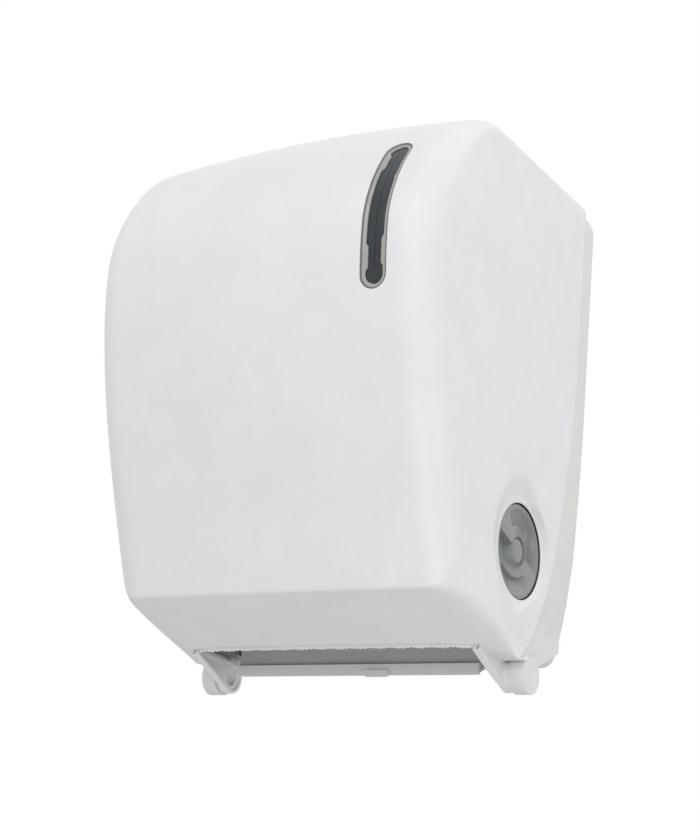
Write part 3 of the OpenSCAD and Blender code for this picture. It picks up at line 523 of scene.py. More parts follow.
# Slope round the knob's hole: its lengths and where they change, its wall, and the height of its lip
# over the knob with the drops that round it
DISH_REAR = 2.6
DISH_FRONT = 22.0
DISH_FROM = 0.3
DISH_OVER = 0.8
DISH_LOW_SHARE = 0.6
DISH_STEPS = 14
DISH_WALL = 1.2
DISH_LIFT = 0.02
DISH_FLAP = 1.0
LIP_ABOVE = 1.4
LIP_STEP = 0.3
LIP_DROPS = (0.9, 0.3)
ROUND_STEPS = 160


def band_at(t):
    return mix(TEAR_AT, SHIELD_LOW, t)


def front_at(t):
    return cubic(SHIELD_LOW, SHIELD_LOW + LEAN_LOW, DEEP_AT - LEAN_HIGH, DEEP_AT, t)


def arc_at(t):
    rise = np.array([0.0, OVER_H * OVER_EASE])
    run = np.array([OVER_D * OVER_EASE, 0.0])
    return cubic(DEEP_AT, DEEP_AT + rise, TOP_FRONT - run, TOP_FRONT, t)


def inset(z):
    return 0.0 if z > INSET_FROM_Z else SIDE_INSET * ((INSET_FROM_Z - z) / INSET_OVER) ** INSET_POWER


def wall_x(y, z):
    """Half width between the sides at a place."""
    pulled_in = inset(z) * smooth((y + INSET_BACK) / INSET_RUN)
    return HALF_W - pulled_in + SIDE_DRAFT * (y + BODY_D) / BODY_D


def rim_y(z):
    t = max(0.0, RIM_BEND_Z - z) / (RIM_BEND_Z - RIM_LOW_Z)
    return -RIM_D - RIM_FORWARD[0] * t - RIM_FORWARD[1] * t ** RIM_POWER


def band_station(t):
    corner = mix(TEAR_CORNER, SHIELD_CORNER, t ** CORNER_EASE)
    return Station(band_at(t), mix(TEAR_TURN, 0, t), mix(REAR_Z[0], REAR_Z[1], t), CROWN, 0.0, corner,
                   out=TEAR_OUT * (1 - t), crease=mix(*CREASE_TURN, t))


def front_station(t):
    p = front_at(t)
    ahead = AHEAD_GAIN * max(0.0, p[1] - SHIELD_LOW[1]) ** AHEAD_POWER
    rear_z = mix(REAR_Z[1], REAR_Z[2], t)
    return Station(p, 0.0, rear_z, CROWN, EDGE_R_FRONT, SHIELD_CORNER, ahead=ahead)


def arc_station(t):
    edge_r = quadratic(EDGE_R_FRONT, EDGE_R_OVER, EDGE_R_TOP, t)
    rear_z = mix(REAR_Z[2], REAR_Z[3], t)
    return Station(arc_at(t), -90.0 * t, rear_z, mix(CROWN, CROWN_TOP, t), edge_r, SHIELD_CORNER,
                   ahead=SHIELD_CORNER[1])


def top_station(t):
    p = mix(TOP_FRONT, np.array([-RIM_D, TOP_H]), t)
    rear_z = mix(REAR_Z[3], REAR_Z[4], t)
    return Station(p, -90.0, rear_z, CROWN_TOP, EDGE_R_TOP, SHIELD_CORNER, ahead=SHIELD_CORNER[1])


def bowl_x(station, fall):
    """Half width of the rounded underside at a fall behind the station's point."""
    across, back = station.corner
    short = min(1.0, max(0.0, 1 - (fall - station.crown + station.ahead) / back))
    y, z = station.point + along(station.turn) * fall
    return wall_x(y, z) + station.out - across * (1 - math.sqrt(1 - short * short))


def edge_start(station):
    """Where the crowned middle ends, and the angle of the edge's arc there."""
    wall = wall_x(*(station.point + along(station.turn) * (station.crown + station.edge_r)))
    first = math.atan2(2 * station.crown, wall - station.edge_r)
    return wall - station.edge_r * (1 - math.sin(first)), first


def edge_line(station):
    """The edge from the middle to the crease, as pairs of x and fall."""
    if station.crease:
        turns = [math.radians(station.crease * t) for t in shares(FINE_STEPS)]
        falls = [station.crown + station.corner[1] * (1 - math.cos(turn)) for turn in turns]
        return [(bowl_x(station, fall), fall) for fall in falls]
    start, first = edge_start(station)

    def arc(a):
        return (start + station.edge_r * (math.sin(a) - math.sin(first)),
                station.crown + station.edge_r * (math.cos(first) - math.cos(a)))

    def inside_bowl(a):
        x, fall = arc(a)
        return bowl_x(station, fall) > x
    last = highest(inside_bowl, first, math.pi / 2)
    return [arc(mix(first, last, t)) for t in shares(FINE_STEPS)]


def side_line(station, fall):
    """The side from the crease to the rear edge."""
    d = along(station.turn)
    bend_fall = max(fall, station.crown - station.ahead + station.corner[1])
    falls = [mix(fall, bend_fall, t) for t in shares(FINE_STEPS)[:-1]]
    line = [(bowl_x(station, s), *(station.point + d * s)) for s in falls]
    bend = station.point + d * bend_fall
    rear = np.array([rim_y(station.rear_z), station.rear_z])
    lead = bend + d * min(SIDE_LEAD, np.linalg.norm(rear - bend) * SIDE_LEAD_SHARE)
    for t in shares(FINE_STEPS):
        q = quadratic(bend, lead, rear, t)
        line.append((wall_x(*q) + station.out * (1 - smooth(t / OUT_RUN)), *q))
    return line


def line_length(line):
    return float(np.linalg.norm(np.diff(np.array(line), axis=0), axis=1).sum())


def resampled(line, start, end, count, ease=1.0):
    """Points along a line from one length to another, closer together at its start."""
    line = np.array(line)
    run = np.concatenate([[0.0], np.cumsum(np.linalg.norm(np.diff(line, axis=0), axis=1))])
    wanted = [mix(start, end, t ** ease) for t in shares(count)]
    return np.stack([np.interp(wanted, run, line[:, k]) for k in range(3)], axis=1)


def half_row(station):
    """Right half of a section, from the middle to the rear edge."""
    d = along(station.turn)
    pairs = edge_line(station)
    edge = [(x, *(station.point + d * fall)) for x, fall in pairs]
    side = side_line(station, pairs[-1][1])
    start = edge[0][0]
    middle = [(start * t, *(station.point + d * station.crown * t * t))
              for t in shares(MIDDLE_STEPS)[:-1]]
    length = line_length(edge)
    near = resampled(edge, 0.0, length - min(BLEND, BLEND_MOST * length), EDGE_STEPS)
    far = resampled(side, BLEND, line_length(side), SIDE_STEPS, SIDE_EASE)
    crease = quadratic(near[-1], np.array(edge[-1]), far[0], 0.5)
    return np.concatenate([middle, near, [crease], far])


def whole_row(half):
    """Both halves of a section, from the left rear edge to the right one."""
    left = half[:0:-1] * np.array([-1.0, 1.0, 1.0])
    return np.concatenate([left, half])


def cover_rows():
    """Sections of the cover in order, with the shield's bottom edge turned over a short way."""
    band_end = 1 - CRISP / np.linalg.norm(SHIELD_LOW - TEAR_AT)
    # A cubic curve sets off at three times its first lead
    front_start = CRISP / (3 * np.linalg.norm(LEAN_LOW))
    rises = [mix(front_start, 1, t ** FRONT_EASE) for t in shares(FRONT_STEPS)[:-1]]
    band = [half_row(band_station(t * band_end)) for t in shares(BAND_STEPS)]
    front = [half_row(front_station(t)) for t in rises]
    corner = half_row(band_station(1.0))
    fillet = [quadratic(band[-1], corner, front[0], t) for t in shares(FILLET_STEPS)[1:-1]]
    arc = [half_row(arc_station(t)) for t in shares(ARC_STEPS)]
    top = [half_row(top_station(t)) for t in shares(TOP_STEPS)[1:]]
    halves = relaxed(np.array(band + fillet + front + arc + top), len(band), len(fillet))
    return np.array([whole_row(half) for half in halves])


def relaxed(grid, band_count, fillet_count):
    """Rounds the fold where the underside turns up into the sides."""
    crease = MIDDLE_STEPS + EDGE_STEPS + 1
    weight = np.zeros(grid.shape[:2])
    for i, row in enumerate(grid):
        rise = row[0][2] - SHIELD_LOW[1]
        if i < band_count:
            t = i / (band_count - 1)
            high, near = smooth(t * RELAX_START), 1 - smooth((t - RELAX_END[0]) / RELAX_END[1])
        elif i < band_count + fillet_count:
            high, near = 1.0, 0.0
        else:
            high, near = 1 - smooth(rise / RELAX_H), 0.0
        for j in range(MIDDLE_STEPS, grid.shape[1] - 1):
            if j <= crease:
                across = near * smooth((j - MIDDLE_STEPS) / EDGE_STEPS)
            else:
                fade = 1 - smooth((j - crease - RELAX_HOLD) / RELAX_OUT)
                across = mix(smooth((j - crease) / RELAX_IN), 1.0, near) * fade
            weight[i, j] = high * across
    share = RELAX_PACE * weight[1:-1, 1:-1, None]
    for _ in range(RELAX_ROUNDS):
        beside = grid[:-2, 1:-1] + grid[2:, 1:-1] + grid[1:-1, :-2] + grid[1:-1, 2:]
        grid[1:-1, 1:-1] += share * (beside / 4 - grid[1:-1, 1:-1])
    return grid


def dish_reach(turn):
    """Length of the slope from the right side down to the knob's hole, long towards the front."""
    broad = mix(DISH_FRONT, DISH_REAR, smooth((turn[0] + DISH_FROM) / DISH_OVER))
    return broad * mix(1.0, DISH_LOW_SHARE, smooth(-turn[1]))


def dish_edge(turn):
    return DRUM_AT + (KNOB_HOLE_D / 2 + dish_reach(turn)) * turn


def corner_curve():
    """The cover's rear edge down to the hinge barrel, as [y, z]."""
    return [quadratic(*CORNER_CUT, t) for t in shares(CORNER_STEPS)]


def inward_normals(grid):
    """Directions into the cover at the points of its skin."""
    normals = np.cross(np.gradient(grid, axis=0), np.gradient(grid, axis=1))
    normals /= np.maximum(np.linalg.norm(normals, axis=2, keepdims=True), SHORTEST)
    return normals * np.sign((normals * (INSIDE - grid)).sum())


def shell(grid, normals, thickness):
    """Points and faces of a wall on a grid of points, closed round its free edge by a rounded rim."""
    rows, columns = grid.shape[:2]
    count = rows * columns
    points = list(grid.reshape(-1, 3)) + list((grid + normals * thickness).reshape(-1, 3))
    faces = grid_faces(rows, columns) + [f[::-1] for f in grid_faces(rows, columns, start=count)]
    edge = [(0, j) for j in range(columns)]
    edge += [(i, columns - 1) for i in range(1, rows)]
    edge += [(rows - 1, j) for j in range(columns - 2, -1, -1)]
    edge += [(i, 0) for i in range(rows - 2, 0, -1)]
    loops = [[i * columns + j for i, j in edge]]
    for depth in RIM_DEPTHS:
        reach = RIM_ROUND * math.sqrt(1 - (2 * depth - 1) ** 2)
        loop = []
        for i, j in edge:
            back = grid[min(max(i, 1), rows - 2), min(max(j, 1), columns - 2)]
            out = unit(grid[i, j] - back)
            loop.append(len(points))
            points.append(grid[i, j] + normals[i, j] * thickness * depth + out * reach)
        loops.append(loop)
    loops.append([count + k for k in loops[0]])
    size = len(edge)
    for a, b in zip(loops, loops[1:]):
        faces += [(a[k], a[(k + 1) % size], b[(k + 1) % size], b[k]) for k in range(size)]
    return points, faces


def build_cover():
    grid = cover_rows()
    cover = add_cover_piece("cover_shell", shell(grid, inward_normals(grid), WALL))
    x_out = HALF_W + CUT_BESIDE
    slot = prism(window_outline(0), lambda p: (p[0], -BODY_D - CUT_BEYOND, p[1]),
                 lambda p: (p[0], -BODY_D + OVER_D, p[1]))
    circle = [np.array([0.0, LOCK_Y]) + LOCK_HOLE_D / 2 * turn for turn in turns_round(LOCK_STEPS)]
    lock_hole = prism(circle, lambda p: (*p, TOP_H - LOCK_CUT_IN), lambda p: (*p, TOP_H + CUT_BEYOND))
    edge = [dish_edge(turn) for turn in turns_round(ROUND_STEPS)]
    cutters = [slot, lock_hole, x_prism(edge, HALF_W - KNOB_CUT_IN, x_out)]
    corner = corner_curve() + [(CORNER_CUT[2][0], CORNER_LOW), (0.0, CORNER_LOW), (0.0, CORNER_CUT[0][1])]
    x_in = HALF_W - CORNER_CUT_IN
    for s in (-1, 1):
        cutters.append(disc_x(BARREL_CUT_R, s * x_in, s * x_out, HINGE_AT))
        cutters.append(x_prism(corner, s * x_in, s * x_out))
    cut(cover, cutters)
    smooth_by_angle(cover, SMOOTH_ANGLE)
    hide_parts("front_cover")


def build_knob_rim():
    """Slope round the knob's hole: flush with the side, then falling to a lip just above the knob's face."""
    turns = turns_round(ROUND_STEPS)
    top = []
    for s in shares(DISH_STEPS):
        row = []
        for turn in turns:
            q = DRUM_AT + mix(LIP_IN_R + LIP_STEP, KNOB_HOLE_D / 2 + dish_reach(turn), s) * turn
            row.append((mix(KNOB_FACE_X + LIP_ABOVE, wall_x(*q) + DISH_LIFT, smooth(s)), *q))
        top.append(row)
    under = [[(x - DISH_WALL, y, z) for x, y, z in row] for row in reversed(top)]
    flap = [dish_edge(turn) + DISH_FLAP * turn for turn in turns]
    outer = [[(wall_x(*q) + lift, *q) for q in flap] for lift in (DISH_LIFT, -DISH_WALL)]
    inner = [[(KNOB_FACE_X + (LIP_ABOVE - drop), *(DRUM_AT + LIP_IN_R * turn)) for turn in turns]
             for drop in LIP_DROPS]
    add_cover_piece("knob_hole_lip", ring_rows(top + outer + under + inner), angle=50)


# Window

WINDOW_X = HALF_W - 42.0
WINDOW_W = 21.0
WINDOW_HIGH = TOP_H - 45.0
WINDOW_LOW = WINDOW_HIGH - 123.0
CORE_LOW = WINDOW_LOW + WINDOW_W / 2
CORE_HIGH = WINDOW_HIGH - WINDOW_W / 2
WINDOW_GAP = 0.15
END_STEPS = 24
LENGTH_STEPS = 40
WINDOW_ANGLE = 40
# Span of the front and the roll-over in which a height is looked for, and a step along it
FRONT_SPAN = (0.2, 1.9)
FRONT_STEP = 0.01
# Width of the border on the left and on the right, and its clip tabs: low, high, side and extra width
BORDER_W = (3.7, 3.0)
TAB_SPANS = [(137.0, 152.0, -1, 2.2), (56.0, 74.0, -1, 1.9), (58.0, 79.0, 1, 1.6), (128.0, 131.0, 1, 0.8)]
# Sections of the window's pieces, as pairs of the way in from the outline and the depth
EDGE_SECTION = [(0.0, 0.35), (0.25, 0.1), (0.75, 0.12), (1.05, 0.5), (1.1, 2.6), (0.0, 2.8)]
PANE_SECTION = [(2.0, 2.2), (4.5, 2.05), (6.5, 2.0), (8.5, 2.0), (10.2, 2.0),
                (10.2, 4.0), (6.5, 4.0), (2.0, 4.0)]
# Section of the border, whose way in is a share of its width from a first way in
BORDER_FROM = 1.0
BORDER_SECTION = [(0.0, 0.75), (0.5, 0.85), (1.0, 1.05), (1.0, 3.6), (0.0, 3.6)]


def window_outline(grow):
    """The window's outline as [x, z], grown outwards."""
    r = WINDOW_W / 2 + grow
    upper = [np.array([WINDOW_X, CORE_HIGH]) + r * along(180 * t) for t in shares(END_STEPS)]
    lower = [np.array([WINDOW_X, CORE_LOW]) + r * along(180 + 180 * t) for t in shares(END_STEPS)]
    rise = shares(LENGTH_STEPS)[1:-1]
    left = [np.array([WINDOW_X - r, mix(CORE_HIGH, CORE_LOW, t)]) for t in rise]
    right = [np.array([WINDOW_X + r, mix(CORE_LOW, CORE_HIGH, t)]) for t in rise]
    return upper + left + lower + right


def front_point(x, z, depth):
    """Point of the front and roll-over at (x, z), moved in by depth."""
    def sample(s):
        station = front_station(s) if s <= 1 else arc_station(s - 1)
        share = abs(x) / edge_start(station)[0]
        return station.point + along(station.turn) * station.crown * share * share
    s = highest(lambda middle: sample(middle)[1] < z, *FRONT_SPAN)
    d = unit(sample(s + FRONT_STEP) - sample(s - FRONT_STEP))
    q = sample(s) + np.array([d[1], -d[0]]) * depth
    return (x, q[0], q[1])


def border_width(p):
    """Width of the lens's inner border at an outline point, wider at the clip tabs."""
    width = BORDER_W[0] if p[0] < WINDOW_X else BORDER_W[1]
    for low, high, side, extra in TAB_SPANS:
        if low < p[1] < high and side * (p[0] - WINDOW_X) > WINDOW_W / 4:
            width += extra
    return width


def shrunk(p, amount):
    """An outline point moved in towards the slot's middle line."""
    core = np.array([WINDOW_X, min(CORE_HIGH, max(CORE_LOW, p[1]))])
    return p + unit(core - p) * amount


def window_ring(section, way_in=lambda p, amount: amount):
    """Points and faces of a ring with a section, whose way in may change along the window's outline."""
    outline = window_outline(-WINDOW_GAP)
    return ring_rows([[front_point(*shrunk(p, way_in(p, amount)), depth) for p in outline]
                      for amount, depth in section])


def build_window():
    add_piece("window_edge", *window_ring(EDGE_SECTION), "cover", LENS_EDGE, "lens_frame", WINDOW_ANGLE)
    ring = window_ring(BORDER_SECTION, lambda p, share: mix(BORDER_FROM, border_width(p), share))
    border = add_piece("window_border", *ring, "cover", LENS_BORDER, "lens_frame", WINDOW_ANGLE)
    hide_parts("window_frame")
    ring = window_ring(PANE_SECTION)
    pane = add_piece("window_pane", *ring, "cover", LENS_PANE, "lens_smoke", WINDOW_ANGLE)
    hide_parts("window_lens")


# Feed knob

KNOB_D = 71.0
KNOB_R = KNOB_D / 2
# Rings of the knob's face, and the drops that round its rim
KNOB_RADII = [3, 6, 9, 10.6, 11, 11.6, 12.2, 13, 14.5, 16.5, 18.2, 19.2, 19.8, 20.4, 21.0, 22, 24, 26.5,
              28.5, 29.8, 30.6, 31.4, 32.2, 33.2, 34.4, 35.1, 35.4, KNOB_R]
RIM_DROPS = {34.4: 0.1, 35.1: 0.4, 35.4: 0.8, KNOB_R: 1.4}
# Rings of the knob's back, as pairs of x and radius
KNOB_BACK = [(KNOB_BACK_X + 6, KNOB_R), (KNOB_BACK_X + 6, 10), (KNOB_BACK_X, 10), (KNOB_BACK_X, 5)]
KNOB_STEPS = 180
KNOB_STEP = 2.0
# Two ramps half a turn apart, each with a steep end inside one step of the face
RAMP_AT = 164.0
RAMP_DEPTH = 6.0
RAMP_GAIN = 1.08
RAMP_ENDS = (0, 90)
RAMP_FOOT = (0.02, 1.98)
# Radii where the hollow of the face ends, and the runs over which it does
FACE_OUT = (32.2, 2.6)
FACE_IN = (11.0, 2.0)
SCOOP_R = 19.2
SCOOP_DEPTH = 3.6
SCOOP_DROP = 1.8
SCOOP_RUN = 11.0
SCOOPS_AT = (80.0, 262.0)
SCOOP_HALF = 48
SCOOP_END = 16
CAP_R = 9.6
CAP_SEAT = 2.2
CAP_STEPS = 64
# Section of the cap, as pairs of radius and x from the knob's face
CAP_CORE = 0.01
CAP_SECTION = [(CAP_CORE, -0.1), (3.0, -0.15), (6.0, -0.35), (8.0, -0.65), (9.0, -1.0),
               (CAP_R - 0.15, -1.5), (CAP_R, -2.2), (CAP_R, -3.4), (CAP_CORE, -3.4)]


def knob_height(r, degrees):
    """Height of the knob's face against its rim, never above it."""
    turn = ((degrees - RAMP_AT) % 180.0) / 180.0
    depth = RAMP_DEPTH * (1 - smooth(turn * RAMP_GAIN))
    inside = smooth((FACE_OUT[0] - r) / FACE_OUT[1]) * smooth((r - FACE_IN[0]) / FACE_IN[1])
    scoop = smooth((r - SCOOP_R) / SCOOP_DROP) * (1 - smooth((r - SCOOP_R - SCOOP_DROP) / SCOOP_RUN))
    dish = 0.0
    for centre in SCOOPS_AT:
        beside = abs((degrees - centre + 180) % 360 - 180)
        dish += SCOOP_DEPTH * scoop * smooth((SCOOP_HALF - beside) / SCOOP_END)
    return -depth * inside - dish * inside


def build_knob():
    angles = []
    for i in range(KNOB_STEPS):
        a = i * KNOB_STEP + RAMP_AT
        angles += [a + foot for foot in RAMP_FOOT] if i in RAMP_ENDS else [a]
    rows = []
    for r in KNOB_RADII:
        seat = CAP_SEAT if r <= CAP_R + 1 else 0.0
        drop = RIM_DROPS.get(r, 0.0)
        rows.append([(KNOB_FACE_X + knob_height(r, a) - drop - seat, *(DRUM_AT + r * along(a)))
                     for a in angles])
    for x, r in KNOB_BACK:
        rows.append([(x, *(DRUM_AT + r * along(a))) for a in angles])
    knob = add_piece("knob_dial", *tube(rows), "drum", KNOB_GREY, "knob_grey", angle=38)
    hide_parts("feed_knob")
    rows = [[(KNOB_FACE_X + x, *(DRUM_AT + r * turn)) for turn in turns_round(CAP_STEPS)]
            for r, x in CAP_SECTION]
    faces = grid_faces(len(rows), CAP_STEPS, closed=True)
    cap = add_piece("knob_button", flat(rows), faces, "drum", KNOB_GREY, "knob_grey", angle=40)
    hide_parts("knob_cap")


# Tear strip

STRIP_HALF = 121.5
STRIP_T = 1.6
STRIP_BACK = 1.3
STRIP_LOW = 3.2
STRIP_HIGH = 5.5
TIP_SHARE = 0.6
TOOTH_PITCH = 4.0
TOOTH_STEPS = 6
TOOTH_DEPTH = 0.9
TOOTH_ROOT = 0.9
# Slow wave in the length of the teeth: its height and its pace
WAVE_H = 0.3
WAVE_PACE = 0.37


def tear_point(x):
    """Point of the tear edge's outer line at x, which may be in the rounded corner."""
    station = band_station(0.0)
    flat_x = bowl_x(station, station.crown)
    fall = station.crown * min(1.0, x / flat_x) ** 2
    if x > flat_x:
        deepest = station.crown + station.corner[1]
        fall = highest(lambda middle: bowl_x(station, middle) < x, station.crown, deepest)
    return np.array([x, *(station.point + along(station.turn) * fall)])


def tooth_tip(x):
    """Height of the strip's toothed edge at x."""
    tooth = abs(math.sin(math.pi * x / TOOTH_PITCH))
    return TEAR_AT[1] - STRIP_LOW + TOOTH_DEPTH * (1 - tooth) + WAVE_H * math.sin(x * WAVE_PACE)


def build_tear_strip():
    steps = int(2 * STRIP_HALF / TOOTH_PITCH) * TOOTH_STEPS
    xs = [mix(-STRIP_HALF, STRIP_HALF, t) for t in shares(steps)]
    fronts = [tear_point(abs(x))[1] + STRIP_BACK for x in xs]
    columns = len(xs)
    tips = [tooth_tip(x) for x in xs]
    roots = [TEAR_AT[1] - STRIP_LOW + TOOTH_DEPTH + TOOTH_ROOT] * columns
    tops = [TEAR_AT[1] + STRIP_HIGH] * columns
    section = [(0.0, tips), (0.0, roots), (0.0, tops),
               (STRIP_T, tops), (STRIP_T, roots), (STRIP_T * TIP_SHARE, tips)]
    rows = [[(x, y + back, z) for x, y, z in zip(xs, fronts, heights)] for back, heights in section]
    faces = grid_faces(len(rows), columns)
    last = (len(rows) - 1) * columns
    faces += [(last + j, last + j + 1, j + 1, j) for j in range(columns - 1)]
    faces += [tuple(k * columns + end for k in range(len(rows))) for end in (0, columns - 1)]
    strip = add_cover_piece("tear_teeth", (flat(rows), faces), angle=30)
    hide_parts("tear_strip")


# Hinge arms of the cover, its corners over the barrels, and the housing's walls beside them

ARM_IN = 121.0
ARM_OUT = 127.0
ARM_ANGLE = 35
WEB_IN = 124.5
WEB_OUT = ARM_OUT - 0.3
EYE_OUT = 131.0
EYE_R = 12.8
WEB_EYE_R = EYE_R - 0.2
BORE_R = 6.6
BORE_OVER = 1.0
# Angle at which the round of the eye ends, past a full turn
EYE_END = 440
# Section of the eye's bush, as pairs of x and radius
EYE_SECTION = [(129.4, BORE_R), (129.4, 3.1), (EYE_OUT, 3.1), (EYE_OUT, EYE_R - 0.8),
               (EYE_OUT - 0.6, EYE_R - 0.3), (ARM_OUT - 0.4, EYE_R - 0.3), (ARM_OUT - 0.4, BORE_R)]
# Flange along the underside: its wall, its rounded edge, and where it narrows towards the eye
FLANGE_T = 2.6
FLANGE_EASE = 0.5
FLANGE_ROUND = 0.2
FLANGE_EYE_IN = 122.6
FLANGE_STEPS = 18
NARROW_FROM = 0.45
NARROW_OVER = 0.6
SKIRT_TO_X = 145.0
SKIRT_COLUMNS = 14
SKIRT_STEPS = 8
SKIRT_SAG = 0.05
# Hood of the cover over the barrel: its inside, its wall and the angles that it spans
HOOD_R = 15.0
HOOD_T = 1.8
HOOD_FROM = 145.0
HOOD_TO = 133.0
# Line of the arm's underside from the tear edge to the eye, as [y, z]
ARM_FRONT = np.array([-113.0, -180.3])
ARM_ROOT = np.array([3.0, 5.5])
FLANGE_STEP = np.array([2.2, 2.2])
# Top of the arm's web, from the eye to its front end
ARM_TOP = [(-70.0, -174.5), (-104.0, -173.8), (-110.0, -174.8)]
RIB = [(-106.0, -177.6), (-58.0, -178.6)]
RIB_T = 1.7
RIB_X = (ARM_IN + 2.2, ARM_OUT - 0.4)
# Section of a hinge pin, as pairs of x and radius
PIN_X = (128.8, 141.4)
PIN_R = 3.0
PIN_ROUND = 0.8
PIN_CORE = 0.01
PIN_SECTION = [(PIN_X[0], PIN_CORE), (PIN_X[0], PIN_R - PIN_ROUND), (PIN_X[0] + PIN_ROUND, PIN_R),
               (PIN_X[1], PIN_R), (PIN_X[1], PIN_CORE)]
PIN_STEPS = 48
# Wire of the yoke springs
WIRE_D = 0.9
WIRE_SIDES = 10
CURLS = 10
CURL_STEPS = 24
# Wall of the housing beside the arm
CHEEK_X = (129.0, 132.0)
CHEEK_EDGE = 0.5
CHEEK = [(-104.0, -171.5), (-66.0, -172.5), (-44.0, -173.0), (-30.0, -158.0), (-6.0, -158.0),
         (-6.0, -112.0), (-60.0, -128.0), (-92.0, -146.0)]
# Plate of the housing under the cover's rear edge, just above the barrel
PLATE_X = (136.2, 138.4)
PLATE_AHEAD = np.array([-4.0, 4.5])
PLATE_CLEAR_R = 17.4
PLATE_CLEAR_TURNS = (142, 136, 130)
PLATE_LOW_R = 14.0
PLATE_LOW_TURNS = (126, 114, 102, 90, 78)
PLATE_REST = [(-40.0, -168.0), (-28.0, -150.0), (-24.0, -98.0)]


def under_line(radius, front):
    """The arm's underside: straight from its front end to the eye, then round the eye to its top."""
    to_eye = HINGE_AT - front
    far = np.linalg.norm(to_eye)
    lean = math.degrees(math.atan2(to_eye[1], to_eye[0]) - math.asin(radius / far))
    first = (lean - 90) % 360
    touch = HINGE_AT + radius * along(first)
    line = [mix(front, touch, t) for t in shares(FLANGE_STEPS)]
    return line + [HINGE_AT + radius * along(mix(first, EYE_END, t)) for t in shares(FLANGE_STEPS)[1:]]


def flange_mesh():
    """Strip along the arm's underside and round its eye, narrower at the eye."""
    inside = ARM_FRONT + FLANGE_STEP
    outer = [ARM_FRONT + ARM_ROOT] + under_line(EYE_R, ARM_FRONT)
    inner = [inside + ARM_ROOT] + under_line(EYE_R - FLANGE_T, inside)
    rows = []
    for k, (a, b) in enumerate(zip(outer, inner)):
        x_in = mix(ARM_IN, FLANGE_EYE_IN, smooth(((k - 1) / FLANGE_STEPS - NARROW_FROM) / NARROW_OVER))
        near = mix(a, b, FLANGE_ROUND)
        rows.append([(x_in + FLANGE_EASE, *a), (ARM_OUT - FLANGE_EASE, *a), (ARM_OUT, *near),
                     (ARM_OUT, *b), (x_in, *b), (x_in, *near)])
    return tube(rows)


def build_arm(side, name):
    """Arm of the cover: a web with an eye, a flange along its underside and a rib over the hollow."""
    sheet = x_prism(under_line(WEB_EYE_R, ARM_FRONT) + ARM_TOP, WEB_IN, WEB_OUT)
    web = add_cover_piece("arm_web_" + name, mirrored(sheet, side), ARM_ANGLE)
    cut(web, [disc_x(BORE_R, side * (WEB_IN - BORE_OVER), side * (ARM_OUT + BORE_OVER), HINGE_AT)])
    smooth_by_angle(web, ARM_ANGLE)
    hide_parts("hinge_arm_" + name)
    (y0, z0), (y1, z1) = RIB
    rib = x_prism([(y0, z0), (y1, z1), (y1, z1 + RIB_T), (y0, z0 + RIB_T)], *RIB_X)
    add_cover_piece("arm_flange_" + name, mirrored(joined([flange_mesh(), rib]), side), ARM_ANGLE)
    add_cover_piece("arm_eye_" + name, mirrored(lathe_x(EYE_SECTION, HINGE_AT), side), angle=40)


def build_pins():
    """Hinge pins with rounded ends, set back in the bores of the eyes."""
    pin = lathe_x(PIN_SECTION, HINGE_AT, PIN_STEPS)
    pair = joined([mirrored(pin, 1), mirrored(pin, -1)])
    pins = add_piece("hinge_pin_pair", *pair, "housing", STEEL, "steel", angle=40)
    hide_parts("hinge_pins")


def build_spring(side, name):
    """Yoke spring: a wound wire from its post on the frame to the yoke's tail."""
    solid = "yoke_spring_" + name
    low, high = (np.array(corner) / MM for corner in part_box(solid))
    centre = (low + high) / 2
    r = (high[0] - low[0] - WIRE_D) / 2
    y0, y1 = low[1] + WIRE_D / 2, high[1] - WIRE_D / 2
    steps = CURLS * CURL_STEPS
    path = [(side * r, y0 - WIRE_D / 2, 0.0)]
    for i in range(steps + 1):
        c, s = r * along(360 * i / CURL_STEPS)
        path.append((side * c, mix(y0 + WIRE_D / 2, y1 - WIRE_D / 2, i / steps), s))
    path.append((side * r, y1 + WIRE_D / 2, 0.0))
    path = np.array(path) + np.array([centre[0], 0.0, centre[2]])
    rows = []
    for p, d in zip(path, np.gradient(path, axis=0)):
        across = unit(np.cross(d, p - np.array([centre[0], p[1], centre[2]])))
        over = unit(np.cross(across, d))
        rows.append([p + WIRE_D / 2 * (c * across + s * over) for c, s in turns_round(WIRE_SIDES)])
    spring = add_piece("wound_spring_" + name, *tube(rows), None, STEEL, "steel", angle=50)
    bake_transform(spring)
    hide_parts(solid)


def build_skirt(side, name):
    """The cover's rounded corner carried on past the tear edge, and over the hinge barrel as a hood."""
    xs = [mix(WEB_IN, SKIRT_TO_X, t) for t in shares(SKIRT_COLUMNS)]
    grid, out = [], []
    for v in shares(SKIRT_STEPS)[:-1]:
        row = []
        for x in xs:
            a, b = tear_point(x), np.array([x, *(HINGE_AT + HOOD_R * along(HOOD_FROM))])
            sag = SKIRT_SAG * v * (1 - v) * np.linalg.norm(b - a)
            row.append(mix(a, b, v) - np.array([0, 0, sag]))
        grid.append(row)
        out.append(unit(mix(np.array([0.0, 1.0]), along(HOOD_FROM), v)))
    for t in shares(SKIRT_STEPS):
        ray = along(mix(HOOD_FROM, HOOD_TO, t))
        grid.append([np.array([x, *(HINGE_AT + HOOD_R * ray)]) for x in xs])
        out.append(ray)
    normals = np.array([[(0.0, *ray)] * len(xs) for ray in out])
    add_cover_piece("skirt_" + name, mirrored(shell(np.array(grid), normals, HOOD_T), side), angle=45)


